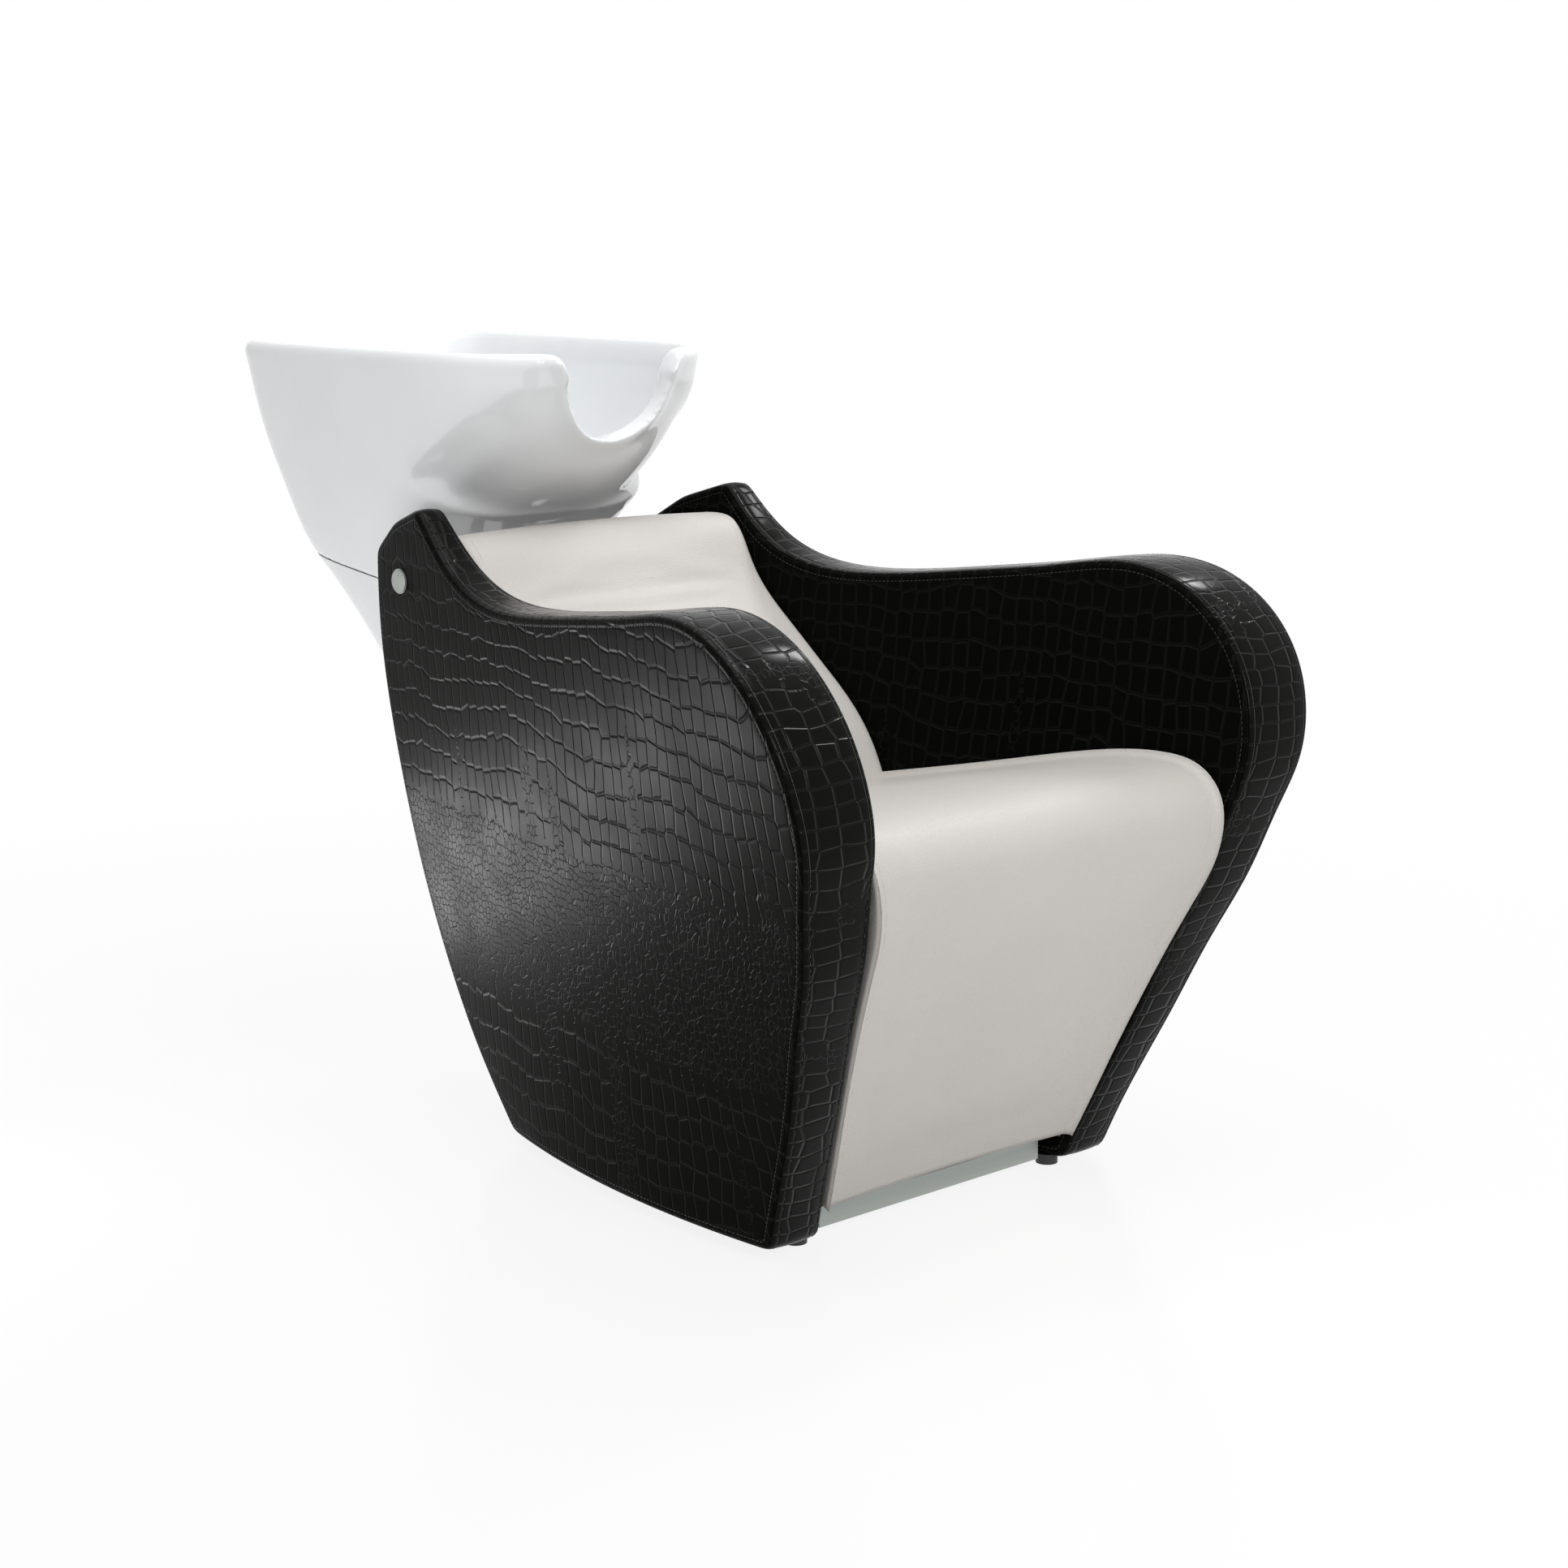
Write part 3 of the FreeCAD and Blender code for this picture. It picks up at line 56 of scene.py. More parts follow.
# Side panel outline, as in the solids
PANEL_FRONT = -360.0 * MM
PANEL_DEPTH = 945.0 * MM
PANEL_HEIGHT = 755.0 * MM
PANEL_BOTTOM = 12.0 * MM
TOP_SHARES = [
    (0.843, 1.000), (0.807, 0.955), (0.758, 0.910), (0.691, 0.881), (0.589, 0.875), (0.439, 0.894),
    (0.296, 0.918), (0.201, 0.931), (0.141, 0.918), (0.081, 0.878), (0.032, 0.812), (0.003, 0.725),
    (0.000, 0.645), (0.017, 0.570), (0.040, 0.472), (0.075, 0.370), (0.112, 0.252), (0.169, 0.086)]
FRONT_FOOT_SHARE = 0.190
REAR_FOOT_SHARE = 0.735
REAR_SHARES = [
    (0.825, 0.132), (0.894, 0.265), (0.942, 0.397), (0.974, 0.530), (0.995, 0.662), (1.000, 0.795),
    (0.984, 0.921)]
BEVEL_SHARE = (0.921, 0.970)
INNER_X = 191.0 * MM
INNER_LEAN = 0.145
INNER_TOE = 0.130
INNER_Y = -178.0 * MM
CAP_Y = 497.0 * MM
CAP_Z = 664.0 * MM
CAP_CLEAR = 17.0 * MM
FIT_POWER = 5
FIT_STEPS = 48
CAST_FROM = 0.8

# Sewn edges of the panels
OUTLINE_STEPS = 520
DENSE_STEP = 1.5 * MM
CORNER_SOFTEN = 8.0 * MM
SEAM_DEEP = 2.6 * MM
ROLL = 6.0 * MM
STITCH_IN = 7.0 * MM
STITCH_DIMPLE = 0.5 * MM
DIMPLE_WIDE = 1.3 * MM
EDGE_RINGS = [d * MM for d in (0.0, 0.5, 1.2, 2.2, 3.4, 4.6, 5.8, 6.4, 7.0, 7.6, 8.4, 9.6)]
FILL_STEP = 9.0 * MM
BAND_MIDDLE = 7
BAND_CROWN = 2.0 * MM
COVER_THICK = 2.5 * MM

# Stitches
STITCH_PITCH = 6.0 * MM
STITCH_LONG = 4.4 * MM
STITCH_WIDE = 0.95 * MM
STITCH_TALL = 0.6 * MM
STITCH_SIDES = 6
STITCH_RING_SHARES = [(-1.0, 0.25), (-0.7, 0.85), (0.0, 1.0), (0.7, 0.85), (1.0, 0.25)]

# Seat cushion
SEAT_REAR = (164.0, 408.0)
SEAT_SKIN = [(-36.0, 447.0), (-143.0, 469.0), (-208.0, 479.0), (-262.0, 481.0), (-303.0, 472.0),
             (-326.0, 448.0), (-331.0, 418.0), (-325.0, 385.0), (-310.0, 350.0), (-281.0, 288.0),
             (-257.0, 232.0), (-230.0, 165.0), (-200.0, 86.0)]
SEAT_FOOT = (-185.0, 48.0)
SEAT_PAD = 80.0 * MM
APRON_PAD = 38.0 * MM
SEAT_CROWN = 10.0 * MM
SEAT_SLOPE = 11.0
SEAT_HALF = 290.0 * MM
SIDE_GAP = 4.5 * MM
CUSHION_STEP = 7.0 * MM
CUSHION_COLUMNS = 72
CUSHION_ROLL = 11.0 * MM
CUSHION_SINK = 7.0 * MM
TOP_STITCH_IN = 14.0 * MM
BOXING_ROWS = 6

# Back cushion
BACK_FOOT = (121.0, 417.0)
BACK_RISE = 44.5
BACK_LENGTH = 446.0 * MM
BACK_PAD = 54.0 * MM
BACK_CROWN = 9.0 * MM
BACK_SKIN_SHARES = [(0.09, 0.22), (0.23, 0.36), (0.40, 0.26), (0.57, 0.11), (0.78, 0.09), (0.95, 0.20)]
BACK_NOSE = 9.0 * MM

# Swelling of the cushions
SWELL_FRAMES = 16
SWELL_PRESSURE = 4.0
SWELL_CAP = 7.0 * MM
SWELL_HELD = 18.0 * MM
SWELL_FREE = 70.0 * MM

# Glazed basin
GLAZE_VOXEL = 2.6 * MM
GLAZE_SMOOTH = 14
SCOOP_SMOOTH = 420
SCOOP_BACK = 594.0 * MM
SCOOP_FADE = 50.0 * MM
SCOOP_LOW = 728.0 * MM
SCOOP_TOP = 892.0 * MM
SCOOP_EDGE = 24.0 * MM
BOWL_Y = 694.0 * MM
NOTCH_R = 76.0 * MM
NOTCH_FLARE = 20.0 * MM
NOTCH_Z = 902.0 * MM
NOTCH_TOP = 940.0 * MM
LIP_BACK = 500.0 * MM
LIP_OUT = 9.0 * MM
LIP_WIDE = 15.0 * MM
LIP_CLEAR = 24.0 * MM
LIP_SMOOTH = 50
SMOOTH_FACTOR = 0.5

# Camera: the photograph's place and lens, for a square picture
CAMERA_AT = (-2.29648, -2.69775, 1.11702)
CAMERA_YAW = 42.755
CAMERA_PITCH = 11.174
CAMERA_LENS = 68.416
CAMERA_SHIFT = (-0.0023, -0.0015)
CAMERA_SENSOR = 36.0

# Croco-embossed leatherette: colours, with painted shade in the grooves and a painted highlight on the
# scales' shoulders, cells to the metre, relief and gloss
# Painted shade: the colour in the grooves between the scales
CROCO_GROOVE_PAINTED_SHADE = (0.0012, 0.0012, 0.001)
# Painted highlight: the lighter colour on the shoulders round each scale
CROCO_SHOULDER_PAINTED_HIGHLIGHT = (0.0085, 0.009, 0.008)
CROCO_SCALE = (0.0026, 0.0028, 0.0022)
CROCO_TONES_WITH_PAINTED_LIGHT = ((0.0, CROCO_GROOVE_PAINTED_SHADE), (0.06, CROCO_SHOULDER_PAINTED_HIGHLIGHT), (0.20, CROCO_SCALE))
CROCO_WAVES = 4.5
CROCO_WARP = (0.035, 0.075, 0.0)
CROCO_LARGE = 47.0
CROCO_LARGE_RANDOM = 0.27
CROCO_LARGE_THIN = 2.0
CROCO_TALL = 0.66
CROCO_SMALL = 104.0
CROCO_SMALL_RANDOM = 0.62
CROCO_SMALL_THIN = 2.3
CROCO_GROOVE_WIDE = 0.2
CROCO_DEEP = 0.9 * MM
CROCO_STRENGTH = 0.9
CROCO_GRAIN = 900.0
CROCO_GRAIN_SHARE = 0.04
CROCO_PATCHES = 14.0
SMALL_RELIEF = 0.4
SMALL_MIDDLE = 337.0 * MM
SMALL_HALF = 105.0 * MM
SMALL_FADE = 25.0 * MM
STREAK_STRETCH = (11.0, 1.5, 1.0)
STREAK_FROM = 0.60
STREAK_TO = 0.66
# Reflection level, lowest and highest roughness
FACE_GLOSS = (0.014, 0.34, 0.42)
BAND_GLOSS = (0.05, 0.12, 0.20)

# Pale leatherette
PALE_LIGHT = (0.585, 0.558, 0.530)
PALE_DARK = (0.548, 0.520, 0.490)
PALE_WAVES = 60.0
PALE_WARP = (0.003, 0.003, 0.003)
PALE_PEBBLES = 340.0
PALE_PEBBLE_EDGE = 0.32
PALE_GRAIN = 1400.0
PALE_GRAIN_SHARE = 0.15
PALE_DEEP = 0.28 * MM
PALE_STRENGTH = 0.65
PALE_PATCHES = 5.0
PALE_ROUGH = 0.46
PALE_GLOSS = 0.4

# Plain finishes: name, dark, light, roughness, metal, grain, its stretch, its depth, patches, coat
EVEN = (1.0, 1.0, 1.0)
ALONG_X = (0.02, 1.0, 1.0)
ALONG_Y = (1.0, 0.06, 1.0)
FINE_STRENGTH = 0.5
TONE_FROM = 0.3
TONE_TO = 0.7
FINISHES = {
    "plywood": ("ply", (0.44, 0.30, 0.17), (0.62, 0.46, 0.29), (0.55, 0.75), 0,
                160, ALONG_Y, 0.1 * MM, 40, 0.0),
    "satin_steel": ("satin_steel", (0.30, 0.325, 0.305), (0.37, 0.395, 0.37), (0.3, 0.45), 1,
                    900, ALONG_X, 0.02 * MM, 40, 0.0),
    "cover_sheet": ("cover_sheet", (0.28, 0.29, 0.30), (0.34, 0.35, 0.36), (0.34, 0.46), 0.6,
                    700, EVEN, 0.03 * MM, 12, 0.0),
    "frame_steel": ("frame_paint", (0.035, 0.035, 0.038), (0.05, 0.05, 0.054), (0.35, 0.5), 0,
                    500, EVEN, 0.06 * MM, 14, 0.0),
    "black_plastic": ("black_plastic", (0.012, 0.012, 0.012), (0.02, 0.02, 0.02), (0.4, 0.55), 0,
                      900, EVEN, 0.05 * MM, 20, 0.0),
    "rubber": ("rubber", (0.015, 0.015, 0.015), (0.025, 0.025, 0.025), (0.6, 0.8), 0,
               700, EVEN, 0.06 * MM, 25, 0.0),
    "bearing_plastic": ("bearing_plastic", (0.74, 0.73, 0.68), (0.8, 0.79, 0.75), (0.4, 0.5), 0,
                        600, EVEN, 0.03 * MM, 20, 0.0),
    "ceramic": ("glaze", (0.83, 0.845, 0.86), (0.87, 0.88, 0.89), (0.05, 0.09), 0,
                12, EVEN, 0.15 * MM, 6, 0.3),
    "white_plastic": ("gloss_white", (0.81, 0.825, 0.84), (0.85, 0.86, 0.87), (0.1, 0.16), 0,
                      60, EVEN, 0.03 * MM, 6, 0.2),
    "chrome": ("chrome", (0.72, 0.73, 0.74), (0.8, 0.81, 0.82), (0.05, 0.1), 1,
               200, EVEN, 0.0, 30, 0.0),
    "pipe_plastic": ("pipe_plastic", (0.68, 0.68, 0.68), (0.76, 0.76, 0.76), (0.3, 0.42), 0,
                     500, EVEN, 0.03 * MM, 20, 0.0),
    "zinc_steel": ("zinc", (0.5, 0.51, 0.52), (0.64, 0.65, 0.66), (0.28, 0.45), 1,
                   300, EVEN, 0.02 * MM, 60, 0.0)}
THREAD_PALE = ("thread_pale", (0.5, 0.47, 0.43), (0.62, 0.59, 0.55), (0.5, 0.6), 0,
               2500, EVEN, 0.05 * MM, 60, 0.0)
THREAD_BLACK = ("thread_black", (0.01, 0.01, 0.01), (0.03, 0.03, 0.03), (0.35, 0.5), 0,
                2500, EVEN, 0.05 * MM, 60, 0.0)

# Stage
FLOOR_HALF = 40.0
FLOOR_COLOUR = (0.9, 0.9, 0.9)
FLOOR_ROUGH = 0.22
FLOOR_NEAR_SHARE = 0.86
FLOOR_NEAR = 0.7
FLOOR_FAR = 2.4
SKY_LIGHT = 0.40

# Lamps: name, place, aim, size, watts, spread in degrees, whether gloss shows it
LAMPS = [
    ("top_light", (0.0, -0.2, 3.0), (0.0, 0.0, 0.5), (2.0, 2.0), 38, 180.0, True),
    ("front_light", (-0.6, -3.4, 2.2), (0.0, 0.0, 0.5), (1.2, 1.2), 48, 180.0, True),
    ("left_light", (-1.15, 0.42, 0.16), (-0.35, -0.1, 0.4), (0.5, 0.26), 2.8, 180.0, False),
    ("sheen_light", (-0.50, 0.74, 0.14), (-0.37, -0.15, 0.40), (0.60, 0.22), 1.3, 80.0, True),
    ("right_light", (1.9, 0.0, 2.5), (0.0, -0.2, 0.5), (0.3, 0.7), 15, 180.0, True)]


# Curves
def smooth_curve(points, step):
    """Natural cubic spline through the points, sampled about every step."""
    pts = np.array(points, float)
    chord = np.linalg.norm(np.diff(pts, axis=0), axis=1)
    knot = np.concatenate([[0.0], np.cumsum(chord)])
    count = len(pts)
    matrix = np.eye(count)
    right = np.zeros((count, pts.shape[1]))
    for i in range(1, count - 1):
        before = knot[i] - knot[i - 1]
        after = knot[i + 1] - knot[i]
        matrix[i, i - 1] = before
        matrix[i, i] = 2 * (before + after)
        matrix[i, i + 1] = after
        right[i] = 6 * ((pts[i + 1] - pts[i]) / after - (pts[i] - pts[i - 1]) / before)
    bend = np.linalg.solve(matrix, right)
    where = np.linspace(0, knot[-1], max(2, int(knot[-1] / step) + 1))
    cell = np.clip(np.searchsorted(knot, where, side="right") - 1, 0, count - 2)
    wide = (knot[cell + 1] - knot[cell])[:, None]
    left = (knot[cell + 1] - where)[:, None]
    rest = (where - knot[cell])[:, None]
    return (bend[cell] * left ** 3 / (6 * wide) + bend[cell + 1] * rest ** 3 / (6 * wide)
            + (pts[cell] / wide - bend[cell] * wide / 6) * left
            + (pts[cell + 1] / wide - bend[cell + 1] * wide / 6) * rest)


def resample(points, count, closed):
    pts = np.vstack([points, points[:1]]) if closed else np.array(points)
    run = np.concatenate([[0.0], np.cumsum(np.linalg.norm(np.diff(pts, axis=0), axis=1))])
    where = np.linspace(0, run[-1], count + 1)[:-1] if closed else np.linspace(0, run[-1], count)
    return np.stack([np.interp(where, run, pts[:, i]) for i in range(pts.shape[1])], 1), run[-1]


def soften(points, width, step):
    """Rounds the corners of a closed line."""
    reach = int(3 * width / step)
    weights = np.exp(-0.5 * (np.arange(-reach, reach + 1) * step / width) ** 2)
    weights /= weights.sum()
    total = np.zeros_like(points)
    for offset, weight in zip(range(-reach, reach + 1), weights):
        total += np.roll(points, offset, axis=0) * weight
    return total


def at_share(share):
    return (PANEL_FRONT + PANEL_DEPTH * share[0] - SHIFT, PANEL_HEIGHT * share[1])


def panel_outline():
    front_foot = (PANEL_FRONT + PANEL_DEPTH * FRONT_FOOT_SHARE - SHIFT, PANEL_BOTTOM)
    rear_foot = (PANEL_FRONT + PANEL_DEPTH * REAR_FOOT_SHARE - SHIFT, PANEL_BOTTOM)
    top = smooth_curve([at_share(s) for s in TOP_SHARES] + [front_foot], DENSE_STEP)
    rear = smooth_curve([rear_foot] + [at_share(s) for s in REAR_SHARES], DENSE_STEP)
    line = np.vstack([top, rear, [at_share(BEVEL_SHARE)]])
    dense_count = int(np.linalg.norm(np.diff(np.vstack([line, line[:1]]), axis=0), axis=1).sum() / DENSE_STEP)
    dense, _ = resample(line, dense_count, True)
    line, length = resample(soften(dense, CORNER_SOFTEN, DENSE_STEP), OUTLINE_STEPS, True)
    aim = np.roll(line, -1, 0) - np.roll(line, 1, 0)
    aim /= np.linalg.norm(aim, axis=1)[:, None]
    return line, np.stack([-aim[:, 1], aim[:, 0]], 1), length


OUTLINE, INWARD, OUTLINE_LONG = panel_outline()


def inner_x(y, z):
    return INNER_X + INNER_LEAN * z - INNER_TOE * (y + SHIFT - INNER_Y)


# Meshes
def new_piece(name, verts, faces, skin=None):
    mesh = bpy.data.meshes.new(name)
    mesh.from_pydata([tuple(v) for v in verts], [], faces)
    if skin is not None:
        layer = mesh.attributes.new("skin", "FLOAT_VECTOR", "POINT")
        layer.data.foreach_set("vector", np.asarray(skin, np.float32).ravel())
    build = bmesh.new()
    build.from_mesh(mesh)
    bmesh.ops.remove_doubles(build, verts=build.verts, dist=WELD)
    bmesh.ops.recalc_face_normals(build, faces=build.faces)
    build.to_mesh(mesh)
    build.free()
    mesh.shade_smooth()
    piece = bpy.data.objects.new(name, mesh)
    bpy.context.scene.collection.objects.link(piece)
    return piece


def grid_faces(rows, columns, wrap_columns):
    faces = []
    last = columns if wrap_columns else columns - 1
    for r in range(rows - 1):
        for c in range(last):
            d = (c + 1) % columns
            faces.append((r * columns + c, r * columns + d, (r + 1) * columns + d, (r + 1) * columns + c))
    return faces


def apply_modifiers(piece):
    dg = bpy.context.evaluated_depsgraph_get()
    made = bpy.data.meshes.new_from_object(piece.evaluated_get(dg))
    piece.modifiers.clear()
    piece.data = made
    made.shade_smooth()


def thicken(piece, thick, offset):
    solid = piece.modifiers.new("thick", "SOLIDIFY")
    solid.thickness = thick
    solid.offset = offset
    apply_modifiers(piece)


def roll_share(d, roll):
    """1 at the seam, falling to 0 where the roll ends, as a quarter round."""
    t = np.clip(1 - d / roll, 0, 1)
    return 1 - np.sqrt(1 - t * t)


def dimple(d, row):
    return STITCH_DIMPLE * np.exp(-((d - row) / DIMPLE_WIDE) ** 2)


def powers(y, z):
    """Products of powers of two places on a panel, the terms of a smooth face."""
    u = (np.asarray(y) + SHIFT - PANEL_FRONT) / PANEL_DEPTH * 2 - 1
    v = np.asarray(z) / PANEL_HEIGHT * 2 - 1
    return np.stack([u ** i * v ** j for i in range(FIT_POWER + 1) for j in range(FIT_POWER + 1)], -1)


def outer_finder(node):
    """A smooth face fitted to the solid's outer side, which also bridges the cap's seat."""
    mesh = nodes[node].data
    tree = BVHTree.FromPolygons([v.co for v in mesh.vertices], [tuple(p.vertices) for p in mesh.polygons])
    spots, depths = [], []
    for y in np.linspace(PANEL_FRONT - SHIFT, PANEL_FRONT + PANEL_DEPTH - SHIFT, FIT_STEPS):
        for z in np.linspace(PANEL_BOTTOM, PANEL_HEIGHT, FIT_STEPS):
            hit = tree.ray_cast(Vector((CAST_FROM, y, z)), Vector((-1, 0, 0)))[0]
            if hit is not None and math.hypot(y - CAP_Y + SHIFT, z - CAP_Z) > CAP_CLEAR:
                spots.append((y, z))
                depths.append(hit.x)
    fit = np.linalg.lstsq(powers(*np.array(spots).T), np.array(depths), rcond=None)[0]
    return lambda y, z: powers(y, z) @ fit


outer_x = outer_finder("side_outer_left")


def inside_line(points, line):
    """Which points lie inside a closed line, by counting crossings."""
    y, z = points.T[:, :, None]
    y0, z0 = line.T
    y1, z1 = np.roll(line, -1, 0).T
    crosses = (z0 > z) != (z1 > z)
    where = y0 + (z - z0) * (y1 - y0) / np.where(z1 == z0, 1.0, z1 - z0)
    return ((y < where) & crosses).sum(1) % 2 == 1


def face_fill(line):
    """Even points inside the innermost ring, joined with it into triangles."""
    low, high = line.min(0), line.max(0)
    steps = [np.arange(a, b, FILL_STEP) for a, b in zip(low, high)]
    grid = np.stack(np.meshgrid(*steps), -1).reshape(-1, 2)
    grid = grid[inside_line(grid, line)]
    away = np.linalg.norm(grid[:, None] - line, axis=2).min(1)
    points = np.vstack([line, grid[away > FILL_STEP / 2]])
    loop = [(i, (i + 1) % len(line)) for i in range(len(line))]
    made = delaunay_2d_cdt([Vector(p) for p in points], loop, [], 1, TINY)
    return np.array([tuple(v) for v in made[0]]), [tuple(f) for f in made[2]]


def panel_face(side, outside):
    rings = [OUTLINE + INWARD * (SEAM_DEEP + d) for d in EDGE_RINGS]
    fill, triangles = face_fill(rings[-1])
    flat = np.vstack(rings + [fill])
    d = np.concatenate([np.full(len(ring), d) for ring, d in zip(rings, EDGE_RINGS)]
                       + [np.full(len(fill), EDGE_RINGS[-1])])
    sink = SEAM_DEEP * roll_share(d, ROLL) + dimple(d, STITCH_IN)
    y, z = flat.T
    x = outer_x(y, z) - sink if outside else inner_x(y, z) + sink
    faces = grid_faces(len(rings), OUTLINE_STEPS, True)
    start = len(rings) * OUTLINE_STEPS
    faces += [tuple(start + i for i in triangle) for triangle in triangles]
    name = ("panel_outer_" if outside else "panel_inner_") + ("left" if side > 0 else "right")
    skin = np.column_stack([flat, np.zeros(len(flat))])
    return new_piece(name, np.column_stack([side * x, flat]), faces, skin)


def panel_band(side):
    """The strip round the panel's edge, with a roll and a seam at either side."""
    verts, skin = [], []
    edge = [d for d in EDGE_RINGS if d < 2 * STITCH_IN]
    for i in range(OUTLINE_STEPS):
        inside = OUTLINE[i] + INWARD[i] * SEAM_DEEP
        x0 = outer_x(*inside) - SEAM_DEEP
        x1 = inner_x(*inside) + SEAM_DEEP
        wide = x0 - x1
        middle = np.linspace(edge[-1], wide - edge[-1], BAND_MIDDLE + 2)[1:-1]
        across = np.concatenate([edge, middle, wide - np.array(edge[::-1])])
        near = np.minimum(across, wide - across)
        sink = SEAM_DEEP * roll_share(near, ROLL) + dimple(near, STITCH_IN)
        crown = BAND_CROWN * np.clip(4 * across * (wide - across) / wide ** 2, 0, 1)
        for w, s, c in zip(across, sink, crown):
            y, z = OUTLINE[i] + INWARD[i] * (s - c)
            verts.append((side * (x0 - w), y, z))
            skin.append((OUTLINE_LONG * i / OUTLINE_STEPS, w, 1.0))
    columns = len(edge) * 2 + BAND_MIDDLE
    faces = grid_faces(OUTLINE_STEPS, columns, False)
    last = (OUTLINE_STEPS - 1) * columns
    faces += [(last + c, last + c + 1, c + 1, c) for c in range(columns - 1)]
    return new_piece("panel_band_" + ("left" if side > 0 else "right"), verts, faces, skin)


def stitch_rows(name, rows):
    """Rows of short threads. Each row is (points, surface normals, closed)."""
    verts, faces = [], []
    for points, normals, closed in rows:
        line = np.vstack([points, points[:1]]) if closed else points
        run = np.linalg.norm(np.diff(line, axis=0), axis=1).sum()
        count = int(run / STITCH_PITCH)
        both, _ = resample(np.hstack([points, normals]), count, closed)
        spot, up = both[:, :3], both[:, 3:]
        aim = np.roll(spot, -1, 0) - np.roll(spot, 1, 0)
        if not closed:
            aim[0], aim[-1] = spot[1] - spot[0], spot[-1] - spot[-2]
        for p, a, n in zip(spot, aim, up):
            a = a / np.linalg.norm(a)
            n = n / np.linalg.norm(n)
            side = np.cross(a, n)
            base = len(verts)
            for along, share in STITCH_RING_SHARES:
                for k in range(STITCH_SIDES):
                    angle = 2 * math.pi * k / STITCH_SIDES
                    verts.append(p + a * along * STITCH_LONG / 2
                                 + side * math.cos(angle) * share * STITCH_WIDE / 2
                                 + n * math.sin(angle) * share * STITCH_TALL / 2)
            rings = len(STITCH_RING_SHARES)
            faces += [tuple(base + i for i in f) for f in grid_faces(rings, STITCH_SIDES, True)]
            faces.append(tuple(base + k for k in range(STITCH_SIDES)))
            faces.append(tuple(base + (rings - 1) * STITCH_SIDES + k for k in range(STITCH_SIDES)))
    return new_piece(name, verts, faces)


def panel_stitches(side):
    rows = []
    flat = OUTLINE + INWARD * (SEAM_DEEP + STITCH_IN)
    lift = STITCH_TALL / 2 - STITCH_DIMPLE
    for outside in (True, False):
        sign = side if outside else -side
        x = outer_x(*flat.T) if outside else inner_x(*flat.T)
        face = np.column_stack([side * x + sign * lift, flat])
        rows.append((face, np.tile((sign, 0.0, 0.0), (len(face), 1)), True))
        edge = OUTLINE + INWARD * SEAM_DEEP
        edge_in = SEAM_DEEP + STITCH_IN
        edge_x = outer_x(*edge.T) - edge_in if outside else inner_x(*edge.T) + edge_in
        spot = OUTLINE - INWARD * (lift + BAND_CROWN / 3)
        out = np.column_stack([np.zeros(len(edge)), -INWARD])
        rows.append((np.column_stack([side * edge_x, spot]), out, True))
    return stitch_rows("panel_stitches_" + ("left" if side > 0 else "right"), rows)


# Cushions
def chair_yz(points):
    return np.array([(y * MM - SHIFT, z * MM) for y, z in points])


def square_out(line):
    """Unit directions square to a line in the YZ plane, on its left."""
    aim = np.gradient(line, axis=0)
    aim /= np.linalg.norm(aim, axis=1)[:, None]
    return np.stack([aim[:, 1], -aim[:, 0]], 1)


def cushion(name, skin_line, out, under_line, crown):
    """A boxed cushion: crowned skin, rolled edges, side walls and a flat underside."""
    half_share = np.sin(np.linspace(-math.pi / 2, math.pi / 2, CUSHION_COLUMNS))
    verts, skin = [], []
    run = np.concatenate([[0.0], np.cumsum(np.linalg.norm(np.diff(skin_line, axis=0), axis=1))])
    for (y, z), n, (uy, uz), s in zip(skin_line, out, under_line, run):
        half = inner_x(y, z) - SIDE_GAP
        under_half = inner_x(uy, uz) - SIDE_GAP
        for share in half_share:
            x = half * share
            sink = crown * (x / SEAT_HALF) ** 2 + CUSHION_SINK * roll_share(half - abs(x), CUSHION_ROLL)
            verts.append((x, y - n[0] * sink, z - n[1] * sink))
            skin.append((x, s, 0.0))
        low = crown * (half / SEAT_HALF) ** 2 + CUSHION_SINK
        edge = np.array((half, y - n[0] * low, z - n[1] * low))
        foot = np.array((under_half, uy, uz))
        wall = [edge + (foot - edge) * k / BOXING_ROWS for k in range(1, BOXING_ROWS + 1)]
        for k, point in enumerate(wall):
            verts.append(tuple(point))
            skin.append((half + k * CUSHION_ROLL, s, 0.0))
        for k, point in enumerate(wall[::-1]):
            verts.append((-point[0], point[1], point[2]))
            skin.append((-half - k * CUSHION_ROLL, s, 0.0))
    columns = CUSHION_COLUMNS + 2 * BOXING_ROWS
    rows = len(skin_line)
    faces = grid_faces(rows, columns, True)
    faces.append(tuple(range(columns)))
    faces.append(tuple((rows - 1) * columns + c for c in range(columns)))
    return new_piece(name, verts, faces, skin)


def cushion_stitches(name, skin_line, out, crown):
    """A row of pale thread along each side of a cushion, in from its edge."""
    half = inner_x(*skin_line.T) - SIDE_GAP - TOP_STITCH_IN
    drop = crown * (half / SEAT_HALF) ** 2
    rows = []
    for side in (1, -1):
        points = np.column_stack([side * half, skin_line - out * drop[:, None]])
        rows.append((points, np.column_stack([np.zeros(len(half)), out]), False))
    return stitch_rows(name, rows)


def smooth_step(low, high, value):
    share = np.clip((value - low) / (high - low), 0, 1)
    return share * share * (3 - 2 * share)


